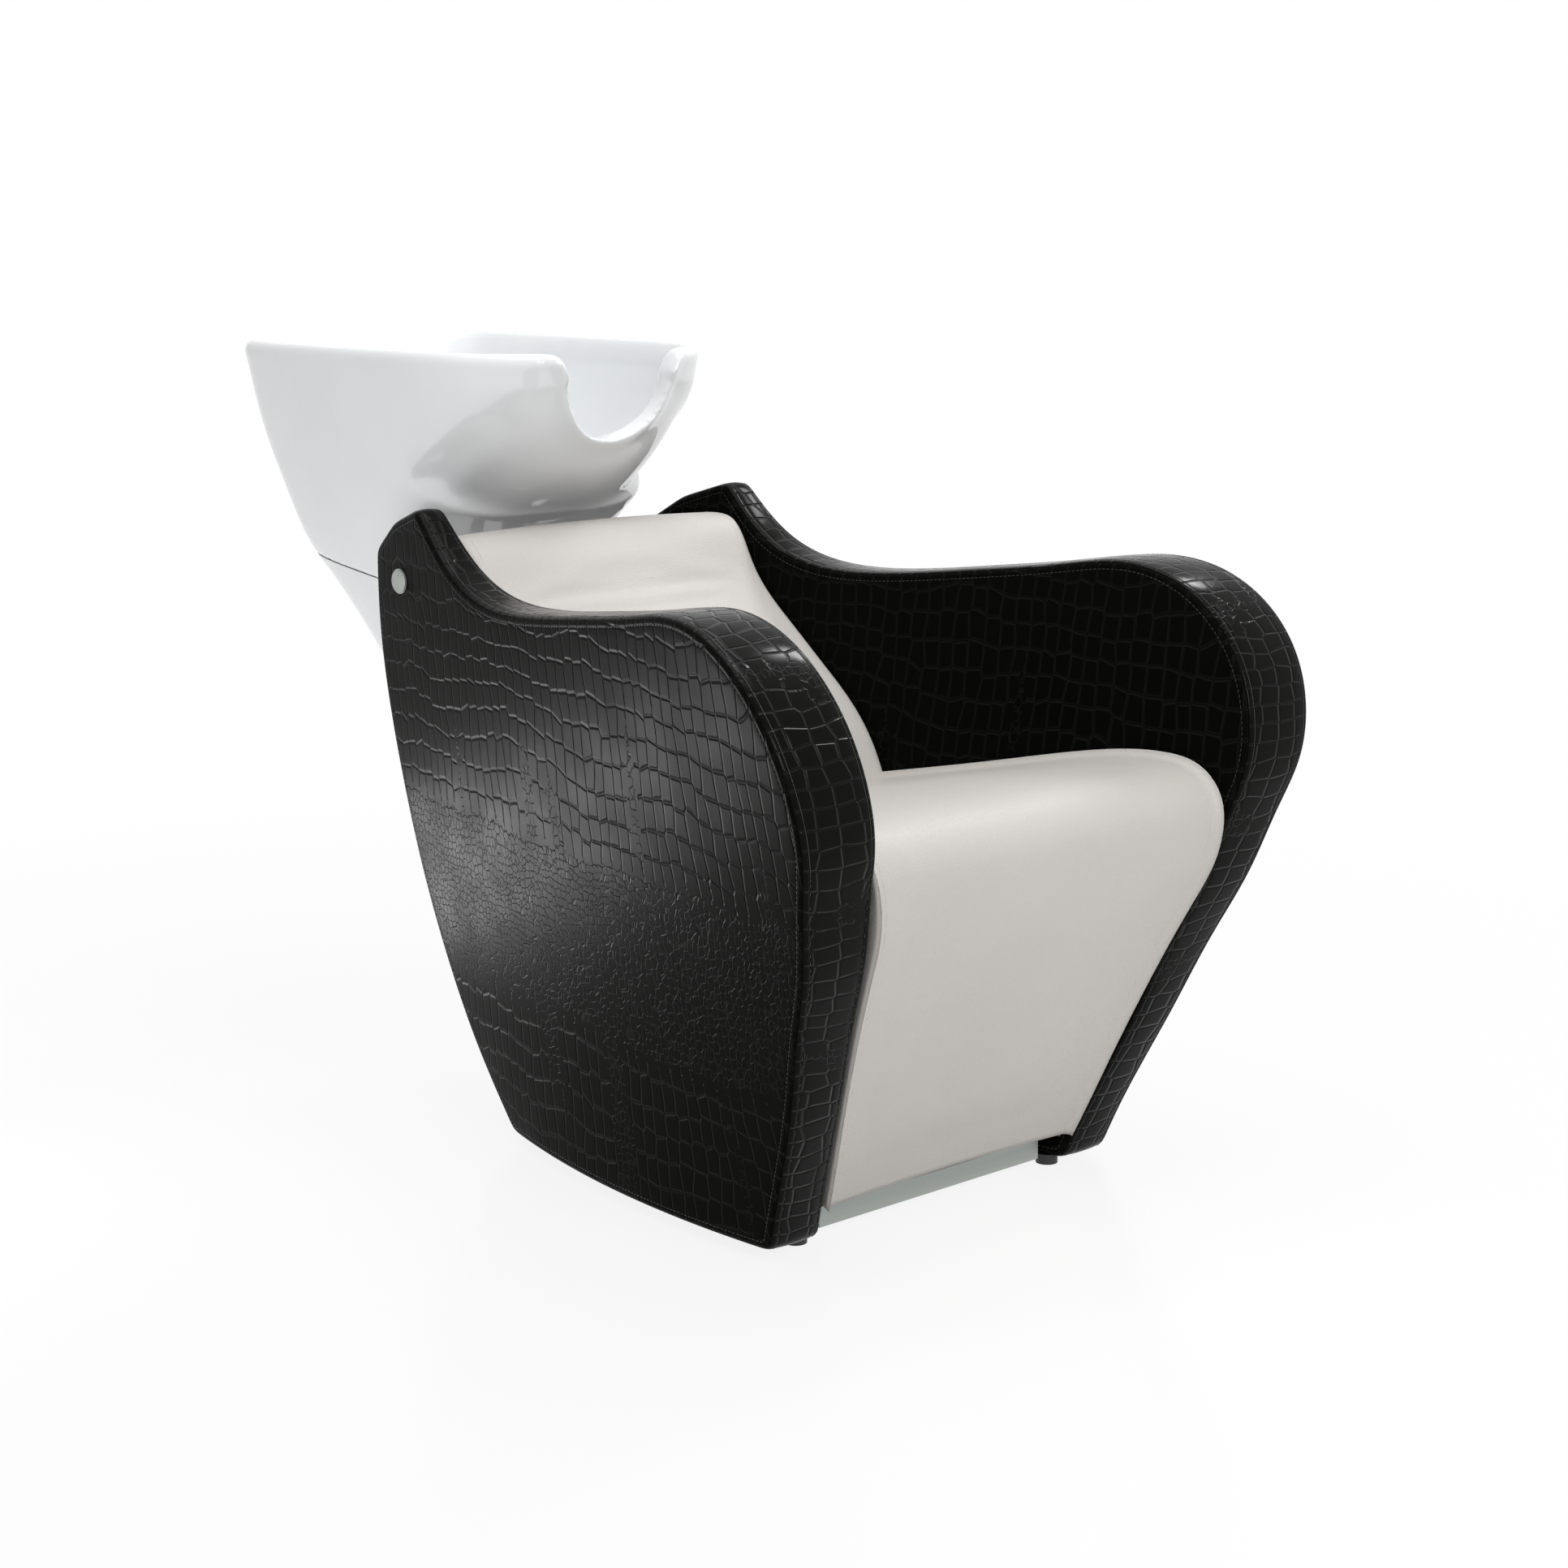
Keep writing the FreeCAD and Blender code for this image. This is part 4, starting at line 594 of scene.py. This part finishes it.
def swell(piece):
    """Swells a cushion's skin under pressure, with its edges held and each point's way capped."""
    mesh = piece.data
    base = np.array([v.co[:] for v in mesh.vertices])
    skin = np.array([item.vector[:] for item in mesh.attributes["skin"].data])
    aside = inner_x(base[:, 1], base[:, 2]) - SIDE_GAP - np.abs(skin[:, 0])
    ahead = np.minimum(skin[:, 1], skin[:, 1].max() - skin[:, 1])
    free = smooth_step(SWELL_HELD, SWELL_FREE, np.minimum(aside, ahead))
    group = piece.vertex_groups.new(name="held")
    for i, share in enumerate(1 - free):
        group.add([i], float(share), "REPLACE")
    cloth = piece.modifiers.new("cloth", "CLOTH")
    cloth.settings.vertex_group_mass = "held"
    cloth.settings.use_pressure = True
    cloth.settings.uniform_pressure_force = SWELL_PRESSURE
    cloth.settings.effector_weights.gravity = 0
    cloth.point_cache.frame_start = 1
    cloth.point_cache.frame_end = SWELL_FRAMES
    scene = bpy.context.scene
    for step in range(1, SWELL_FRAMES + 1):
        scene.frame_set(step)
    done = piece.evaluated_get(bpy.context.evaluated_depsgraph_get()).to_mesh()
    move = np.array([v.co[:] for v in done.vertices]) - base
    way = np.maximum(np.linalg.norm(move, axis=1), TINY)
    move *= np.minimum(1, SWELL_CAP / way)[:, None]
    piece.modifiers.clear()
    piece.vertex_groups.clear()
    scene.frame_set(1)
    mesh.vertices.foreach_set("co", (base + move).ravel())
    mesh.update()


def match_rows(points, count):
    return resample(np.array(points), count, False)[0]


seat_points = chair_yz([SEAT_REAR] + SEAT_SKIN + [SEAT_FOOT])
seat_line = smooth_curve(seat_points, CUSHION_STEP)
slope = math.radians(SEAT_SLOPE)
lean = math.atan2(SEAT_SKIN[9][0] - SEAT_FOOT[0], SEAT_SKIN[9][1] - SEAT_FOOT[1])
under_rear = chair_yz([SEAT_REAR])[0] - SEAT_PAD * np.array((math.sin(slope), math.cos(slope)))
apron_under = chair_yz([SEAT_FOOT])[0] + APRON_PAD * np.array((math.cos(lean), -math.sin(lean)))
reach = under_rear[0] - apron_under[0] + math.tan(lean) * apron_under[1]
elbow_z = (under_rear[1] + math.tan(slope) * reach) / (1 + math.tan(slope) * math.tan(lean))
elbow = np.array((apron_under[0] + math.tan(lean) * (elbow_z - apron_under[1]), elbow_z))
nose = int(np.argmin(np.linalg.norm(seat_line - chair_yz([SEAT_SKIN[5]])[0], axis=1)))
seat_under = np.vstack([match_rows([under_rear, elbow], nose),
                        match_rows([elbow, apron_under], len(seat_line) - nose)])
seat_out = -square_out(seat_line)
seat = cushion("seat_upholstery", seat_line, seat_out, seat_under, SEAT_CROWN)
seat_thread = cushion_stitches("seat_stitches", seat_line, seat_out, SEAT_CROWN)
swell(seat)

rise = math.radians(BACK_RISE)
back_aim = np.array((math.cos(rise), math.sin(rise)))
back_up = np.array((-math.sin(rise), math.cos(rise)))
back_foot = chair_yz([BACK_FOOT])[0]
back_points = [back_foot]
back_points += [back_foot + back_aim * BACK_LENGTH * s + back_up * BACK_PAD * t for s, t in BACK_SKIN_SHARES]
back_points.append(back_foot + back_aim * BACK_LENGTH - back_up * BACK_NOSE)
back_line = smooth_curve(back_points, CUSHION_STEP)
back_low = back_foot - back_up * BACK_PAD
back_under = match_rows([back_low, back_low + back_aim * BACK_LENGTH], len(back_line))
back_out = -square_out(back_line)
back = cushion("back_upholstery", back_line, back_out, back_under, BACK_CROWN)
back_thread = cushion_stitches("back_stitches", back_line, back_out, BACK_CROWN)
swell(back)


# Materials
def node_material(name):
    made = bpy.data.materials.new(name)
    made.use_nodes = True
    tree = made.node_tree
    return made, tree, tree.nodes["Principled BSDF"]


def add(tree, kind, **values):
    node = tree.nodes.new(kind)
    for key, value in values.items():
        setattr(node, key, value)
    return node


def math_node(tree, operation, first, second=None):
    node = add(tree, "ShaderNodeMath", operation=operation)
    for socket, value in zip(node.inputs, (first, second)):
        if isinstance(value, (int, float)):
            socket.default_value = value
        elif value is not None:
            tree.links.new(value, socket)
    return node.outputs[0]


def ramp(tree, source, low, high):
    node = add(tree, "ShaderNodeMapRange", interpolation_type="SMOOTHSTEP")
    tree.links.new(source, node.inputs["Value"])
    node.inputs["From Min"].default_value = low
    node.inputs["From Max"].default_value = high
    return node.outputs["Result"]


def bump(tree, shader, height, distance, strength):
    node = add(tree, "ShaderNodeBump")
    node.inputs["Distance"].default_value = distance
    node.inputs["Strength"].default_value = strength
    tree.links.new(height, node.inputs["Height"])
    tree.links.new(node.outputs["Normal"], shader.inputs["Normal"])


def mix_colour(tree, factor, first, second, target):
    node = add(tree, "ShaderNodeMix", data_type="RGBA")
    node.inputs["A"].default_value = (*first, 1)
    node.inputs["B"].default_value = (*second, 1)
    tree.links.new(factor, node.inputs["Factor"])
    tree.links.new(node.outputs["Result"], target)


def scaled(tree, source, factors):
    node = add(tree, "ShaderNodeVectorMath", operation="MULTIPLY")
    node.inputs[1].default_value = factors
    tree.links.new(source, node.inputs[0])
    return node.outputs[0]


def cells(tree, source, scale, randomness):
    node = add(tree, "ShaderNodeTexVoronoi", feature="DISTANCE_TO_EDGE")
    node.inputs["Scale"].default_value = scale
    node.inputs["Randomness"].default_value = randomness
    tree.links.new(source, node.inputs["Vector"])
    return node.outputs["Distance"]


def noise(tree, source, scale, detail=2.0):
    node = add(tree, "ShaderNodeTexNoise")
    node.inputs["Scale"].default_value = scale
    node.inputs["Detail"].default_value = detail
    tree.links.new(source, node.inputs["Vector"])
    return node.outputs


def croco(name, gloss):
    """Embossed scales: rows of tall rectangles, with small round ones in a wavy zone, coloured with painted
    shade in the grooves and a painted highlight on the scales' shoulders.
    """
    level, smoothest, roughest = gloss
    made, tree, shader = node_material(name)
    skin = add(tree, "ShaderNodeAttribute", attribute_name="skin").outputs["Vector"]
    drift = noise(tree, skin, CROCO_WAVES)["Color"]
    warp = add(tree, "ShaderNodeVectorMath", operation="MULTIPLY_ADD")
    tree.links.new(drift, warp.inputs[0])
    warp.inputs[1].default_value = CROCO_WARP
    tree.links.new(skin, warp.inputs[2])
    bent = warp.outputs[0]
    parts = add(tree, "ShaderNodeSeparateXYZ")
    tree.links.new(bent, parts.inputs[0])
    off = math_node(tree, "ABSOLUTE", math_node(tree, "SUBTRACT", parts.outputs["Y"], SMALL_MIDDLE))
    zone = ramp(tree, off, SMALL_HALF - SMALL_FADE, SMALL_HALF + SMALL_FADE)
    streak = noise(tree, scaled(tree, bent, STREAK_STRETCH), 1.0, 1.0)["Fac"]
    plain = math_node(tree, "SUBTRACT", 1.0, ramp(tree, streak, STREAK_FROM, STREAK_TO))
    belly = math_node(tree, "MULTIPLY", zone, plain)
    tall = scaled(tree, bent, (1.0, CROCO_TALL, 1.0))
    large_cells = cells(tree, tall, CROCO_LARGE, CROCO_LARGE_RANDOM)
    large = math_node(tree, "MULTIPLY", large_cells, CROCO_LARGE_THIN)
    small_cells = cells(tree, bent, CROCO_SMALL, CROCO_SMALL_RANDOM)
    small = math_node(tree, "MULTIPLY", small_cells, CROCO_SMALL_THIN)
    choose = add(tree, "ShaderNodeMix", data_type="FLOAT")
    for socket, value in (("Factor", belly), ("A", small), ("B", large)):
        tree.links.new(value, choose.inputs[socket])
    away = choose.outputs["Result"]
    relief = math_node(tree, "MULTIPLY_ADD", belly, 1 - SMALL_RELIEF)
    relief.node.inputs[2].default_value = SMALL_RELIEF
    groove = math_node(tree, "SUBTRACT", ramp(tree, away, 0.0, CROCO_GROOVE_WIDE), 1.0)
    scale_height = math_node(tree, "MULTIPLY", groove, relief)
    grain = noise(tree, skin, CROCO_GRAIN, 3.0)["Fac"]
    height = math_node(tree, "MULTIPLY_ADD", grain, CROCO_GRAIN_SHARE)
    tree.links.new(scale_height, height.node.inputs[2])
    bump(tree, shader, height, CROCO_DEEP, CROCO_STRENGTH)
    # The colour ramp paints shade into the grooves and a highlight on the shoulders round each scale
    tones_with_painted_light = add(tree, "ShaderNodeValToRGB")
    for place, shade in CROCO_TONES_WITH_PAINTED_LIGHT:
        stop = tones_with_painted_light.color_ramp.elements.new(place)
        stop.color = (*shade, 1)
    tones_with_painted_light.color_ramp.elements.remove(tones_with_painted_light.color_ramp.elements[-1])
    tree.links.new(away, tones_with_painted_light.inputs[0])
    tree.links.new(tones_with_painted_light.outputs["Color"], shader.inputs["Base Color"])
    patchy = ramp(tree, noise(tree, skin, CROCO_PATCHES)["Fac"], TONE_FROM, TONE_TO)
    rough = add(tree, "ShaderNodeMapRange")
    tree.links.new(patchy, rough.inputs["Value"])
    rough.inputs["To Min"].default_value = smoothest
    rough.inputs["To Max"].default_value = roughest
    tree.links.new(rough.outputs["Result"], shader.inputs["Roughness"])
    shader.inputs["Specular IOR Level"].default_value = level
    return made


def pale_leather():
    made, tree, shader = node_material("leather_pale")
    place = add(tree, "ShaderNodeTexCoord").outputs["Object"]
    drift = noise(tree, place, PALE_WAVES)["Color"]
    warp = add(tree, "ShaderNodeVectorMath", operation="MULTIPLY_ADD")
    tree.links.new(drift, warp.inputs[0])
    warp.inputs[1].default_value = PALE_WARP
    tree.links.new(place, warp.inputs[2])
    pebbles = ramp(tree, cells(tree, warp.outputs[0], PALE_PEBBLES, 1.0), 0.0, PALE_PEBBLE_EDGE)
    fine = noise(tree, place, PALE_GRAIN)["Fac"]
    height = math_node(tree, "MULTIPLY_ADD", fine, PALE_GRAIN_SHARE)
    tree.links.new(pebbles, height.node.inputs[2])
    bump(tree, shader, height, PALE_DEEP, PALE_STRENGTH)
    tone = ramp(tree, noise(tree, place, PALE_PATCHES, 3.0)["Fac"], TONE_FROM, TONE_TO)
    # The colour goes darker in the grooves between the pebbles, which is painted shade, and shifts at random
    # in patches
    shade = math_node(tree, "MULTIPLY", math_node(tree, "ADD", pebbles, tone), 0.5)
    mix_colour(tree, shade, PALE_DARK, PALE_LIGHT, shader.inputs["Base Color"])
    shader.inputs["Roughness"].default_value = PALE_ROUGH
    shader.inputs["Specular IOR Level"].default_value = PALE_GLOSS
    return made


def surfaced(name, dark, light, rough, metallic, grain, stretch, deep, patches, coat):
    """A plain finish with fine relief, drawn out where stretch isn't even, and a shift of tone."""
    made, tree, shader = node_material(name)
    place = add(tree, "ShaderNodeTexCoord").outputs["Object"]
    fine = noise(tree, scaled(tree, place, stretch), grain, 3.0)["Fac"]
    if deep > 0:
        bump(tree, shader, fine, deep, FINE_STRENGTH)
    tone = noise(tree, scaled(tree, place, stretch), patches, 3.0)["Fac"]
    mix_colour(tree, ramp(tree, tone, TONE_FROM, TONE_TO), dark, light, shader.inputs["Base Color"])
    spread = add(tree, "ShaderNodeMapRange")
    tree.links.new(fine, spread.inputs["Value"])
    spread.inputs["To Min"].default_value = rough[0]
    spread.inputs["To Max"].default_value = rough[1]
    tree.links.new(spread.outputs["Result"], shader.inputs["Roughness"])
    shader.inputs["Metallic"].default_value = metallic
    shader.inputs["Coat Weight"].default_value = coat
    return made


looks = {"leatherette_black": croco("croco_black", FACE_GLOSS), "leatherette_pale": pale_leather()}
looks.update({slot: surfaced(*finish) for slot, finish in FINISHES.items()})
band_look = croco("croco_band", BAND_GLOSS)
thread_pale = surfaced(*THREAD_PALE)
thread_black = surfaced(*THREAD_BLACK)


def dress(piece, body, slot, look, *replaced):
    piece.data.materials.clear()
    piece.data.materials.append(look)
    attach(piece, body)
    if replaced:
        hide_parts(*replaced)


for name, node in nodes.items():
    node.data.materials.clear()
    node.data.materials.append(looks[slot_of[name]])

for side, word in ((1, "left"), (-1, "right")):
    face_look = looks["leatherette_black"]
    for piece, node, look in ((panel_face(side, True), "side_outer_", face_look),
                              (panel_face(side, False), "side_inner_", face_look),
                              (panel_band(side), "side_band_", band_look)):
        thicken(piece, COVER_THICK, -1)
        dress(piece, "chair", "leatherette_black", look, node + word)
    dress(panel_stitches(side), "chair", "leatherette_black", thread_black)

for piece, node in ((seat, "seat_cushion"), (back, "back_cushion")):
    dress(piece, "chair", "leatherette_pale", looks["leatherette_pale"], node)
for piece in (seat_thread, back_thread):
    dress(piece, "chair", "leatherette_pale", thread_pale)


# Basin: the solid's shape with the soft edges that a glaze gives
def glazed(name, node):
    piece = bpy.data.objects.new(name, nodes[node].data.copy())
    bpy.context.scene.collection.objects.link(piece)
    voxels = piece.modifiers.new("voxels", "REMESH")
    voxels.mode = "VOXEL"
    voxels.voxel_size = GLAZE_VOXEL
    smooth = piece.modifiers.new("smooth", "SMOOTH")
    smooth.factor = SMOOTH_FACTOR
    smooth.iterations = GLAZE_SMOOTH
    apply_modifiers(piece)
    return piece


def smooth_more(piece, count, shares):
    """Smooths a mesh further where the shares say."""
    group = piece.vertex_groups.new(name="softer")
    for i, share in enumerate(shares):
        if share > 0:
            group.add([i], float(share), "REPLACE")
    smooth = piece.modifiers.new("softer", "SMOOTH")
    smooth.factor = SMOOTH_FACTOR
    smooth.iterations = count
    smooth.vertex_group = group.name
    apply_modifiers(piece)
    piece.vertex_groups.clear()


def spots_and_squares(piece):
    verts = piece.data.vertices
    return np.array([v.co[:] for v in verts]), np.array([v.normal[:] for v in verts])


def from_notch(spots):
    """Each point's way from the notch's edge, seen from the front, and far behind the front wall."""
    x, y, z = np.abs(spots[:, 0]), spots[:, 1] + SHIFT, spots[:, 2]
    edge = NOTCH_R + NOTCH_FLARE * np.clip((z - NOTCH_Z) / (NOTCH_TOP - NOTCH_Z), 0, 1)
    way = np.where(z < NOTCH_Z, np.abs(np.hypot(x, z - NOTCH_Z) - NOTCH_R), np.abs(x - edge))
    return np.where(y < LIP_BACK, way, FAR_AWAY)


def soften_scoops(piece):
    """Smooths the scoops, so that they run into the front without an edge."""
    spots, squares = spots_and_squares(piece)
    ahead = 1 - smooth_step(SCOOP_BACK, SCOOP_BACK + SCOOP_FADE, spots[:, 1] + SHIFT)
    above = smooth_step(SCOOP_LOW, SCOOP_LOW + SCOOP_EDGE, spots[:, 2])
    below = 1 - smooth_step(SCOOP_TOP - SCOOP_EDGE, SCOOP_TOP, spots[:, 2])
    outward = squares[:, 0] * spots[:, 0] + squares[:, 1] * (spots[:, 1] + SHIFT - BOWL_Y)
    clear = 1 - np.exp(-(from_notch(spots) / LIP_CLEAR) ** 2)
    smooth_more(piece, SCOOP_SMOOTH, ahead * above * below * clear * (outward > 0))


def roll_lip(piece):
    """Thickens the wall round the notch into a rolled lip."""
    spots, squares = spots_and_squares(piece)
    near = np.exp(-(from_notch(spots) / LIP_WIDE) ** 2)
    spots[:, 1] += squares[:, 1] * near * LIP_OUT
    piece.data.vertices.foreach_set("co", spots.ravel())
    piece.data.update()
    smooth_more(piece, LIP_SMOOTH, near)


basin = glazed("basin_glaze", "basin")
soften_scoops(basin)
roll_lip(basin)
dress(basin, "basin_unit", "ceramic", looks["ceramic"], "basin")

# Stage, light and camera
floor_mesh = bpy.data.meshes.new("floor")
corners = [(x * FLOOR_HALF, y * FLOOR_HALF, 0) for x, y in ((-1, -1), (1, -1), (1, 1), (-1, 1))]
floor_mesh.from_pydata(corners, [], [(0, 1, 2, 3)])
floor = bpy.data.objects.new("floor", floor_mesh)
bpy.context.scene.collection.objects.link(floor)


def seen_rays(tree):
    """1 for rays that show the background: from the camera, in gloss and through glass."""
    path = add(tree, "ShaderNodeLightPath")
    first = math_node(tree, "MAXIMUM", path.outputs["Is Camera Ray"], path.outputs["Is Glossy Ray"])
    return math_node(tree, "MAXIMUM", first, path.outputs["Is Transmission Ray"])


floor_look, tree, shader = node_material("floor")
shader.inputs["Base Color"].default_value = (*FLOOR_COLOUR, 1)
shader.inputs["Roughness"].default_value = FLOOR_ROUGH
glow = add(tree, "ShaderNodeEmission")
blend = add(tree, "ShaderNodeMixShader")
away = add(tree, "ShaderNodeVectorMath", operation="LENGTH")
tree.links.new(add(tree, "ShaderNodeTexCoord").outputs["Object"], away.inputs[0])
white = add(tree, "ShaderNodeMapRange", interpolation_type="SMOOTHSTEP")
tree.links.new(away.outputs["Value"], white.inputs["Value"])
for socket, value in (("From Min", FLOOR_NEAR), ("From Max", FLOOR_FAR), ("To Min", FLOOR_NEAR_SHARE)):
    white.inputs[socket].default_value = value
tree.links.new(math_node(tree, "MULTIPLY", seen_rays(tree), white.outputs["Result"]), blend.inputs[0])
tree.links.new(shader.outputs[0], blend.inputs[1])
tree.links.new(glow.outputs[0], blend.inputs[2])
tree.links.new(blend.outputs[0], tree.nodes["Material Output"].inputs["Surface"])
floor_mesh.materials.append(floor_look)

world = bpy.data.worlds.new("studio")
world.use_nodes = True
bpy.context.scene.world = world
tree = world.node_tree
sky = tree.nodes["Background"]
strength = add(tree, "ShaderNodeMapRange")
tree.links.new(seen_rays(tree), strength.inputs["Value"])
strength.inputs["To Min"].default_value = SKY_LIGHT
strength.inputs["To Max"].default_value = 1.0
sky.inputs["Color"].default_value = (1, 1, 1, 1)
tree.links.new(strength.outputs["Result"], sky.inputs["Strength"])


def softbox(name, at, aim, size, watts, spread, mirrored):
    lamp = bpy.data.lights.new(name, "AREA")
    lamp.shape = "RECTANGLE"
    lamp.size, lamp.size_y = size
    lamp.energy = watts
    lamp.spread = math.radians(spread)
    holder = bpy.data.objects.new(name, lamp)
    bpy.context.scene.collection.objects.link(holder)
    holder.location = at
    holder.rotation_euler = (Vector(aim) - Vector(at)).to_track_quat("-Z", "Y").to_euler()
    holder.visible_camera = False
    holder.visible_glossy = mirrored


for lamp in LAMPS:
    softbox(*lamp)

lens = bpy.data.cameras.new("camera")
lens.sensor_width = CAMERA_SENSOR
lens.lens = CAMERA_LENS
lens.shift_x, lens.shift_y = CAMERA_SHIFT
camera = bpy.data.objects.new("camera", lens)
bpy.context.scene.collection.objects.link(camera)
camera.location = CAMERA_AT
yaw, pitch = math.radians(CAMERA_YAW), math.radians(CAMERA_PITCH)
look = Vector((math.sin(yaw) * math.cos(pitch), math.cos(yaw) * math.cos(pitch), -math.sin(pitch)))
camera.rotation_euler = look.to_track_quat("-Z", "Y").to_euler()
bpy.context.scene.camera = camera
bpy.context.scene.view_settings.view_transform = "Standard"

bpy.context.view_layer.update()
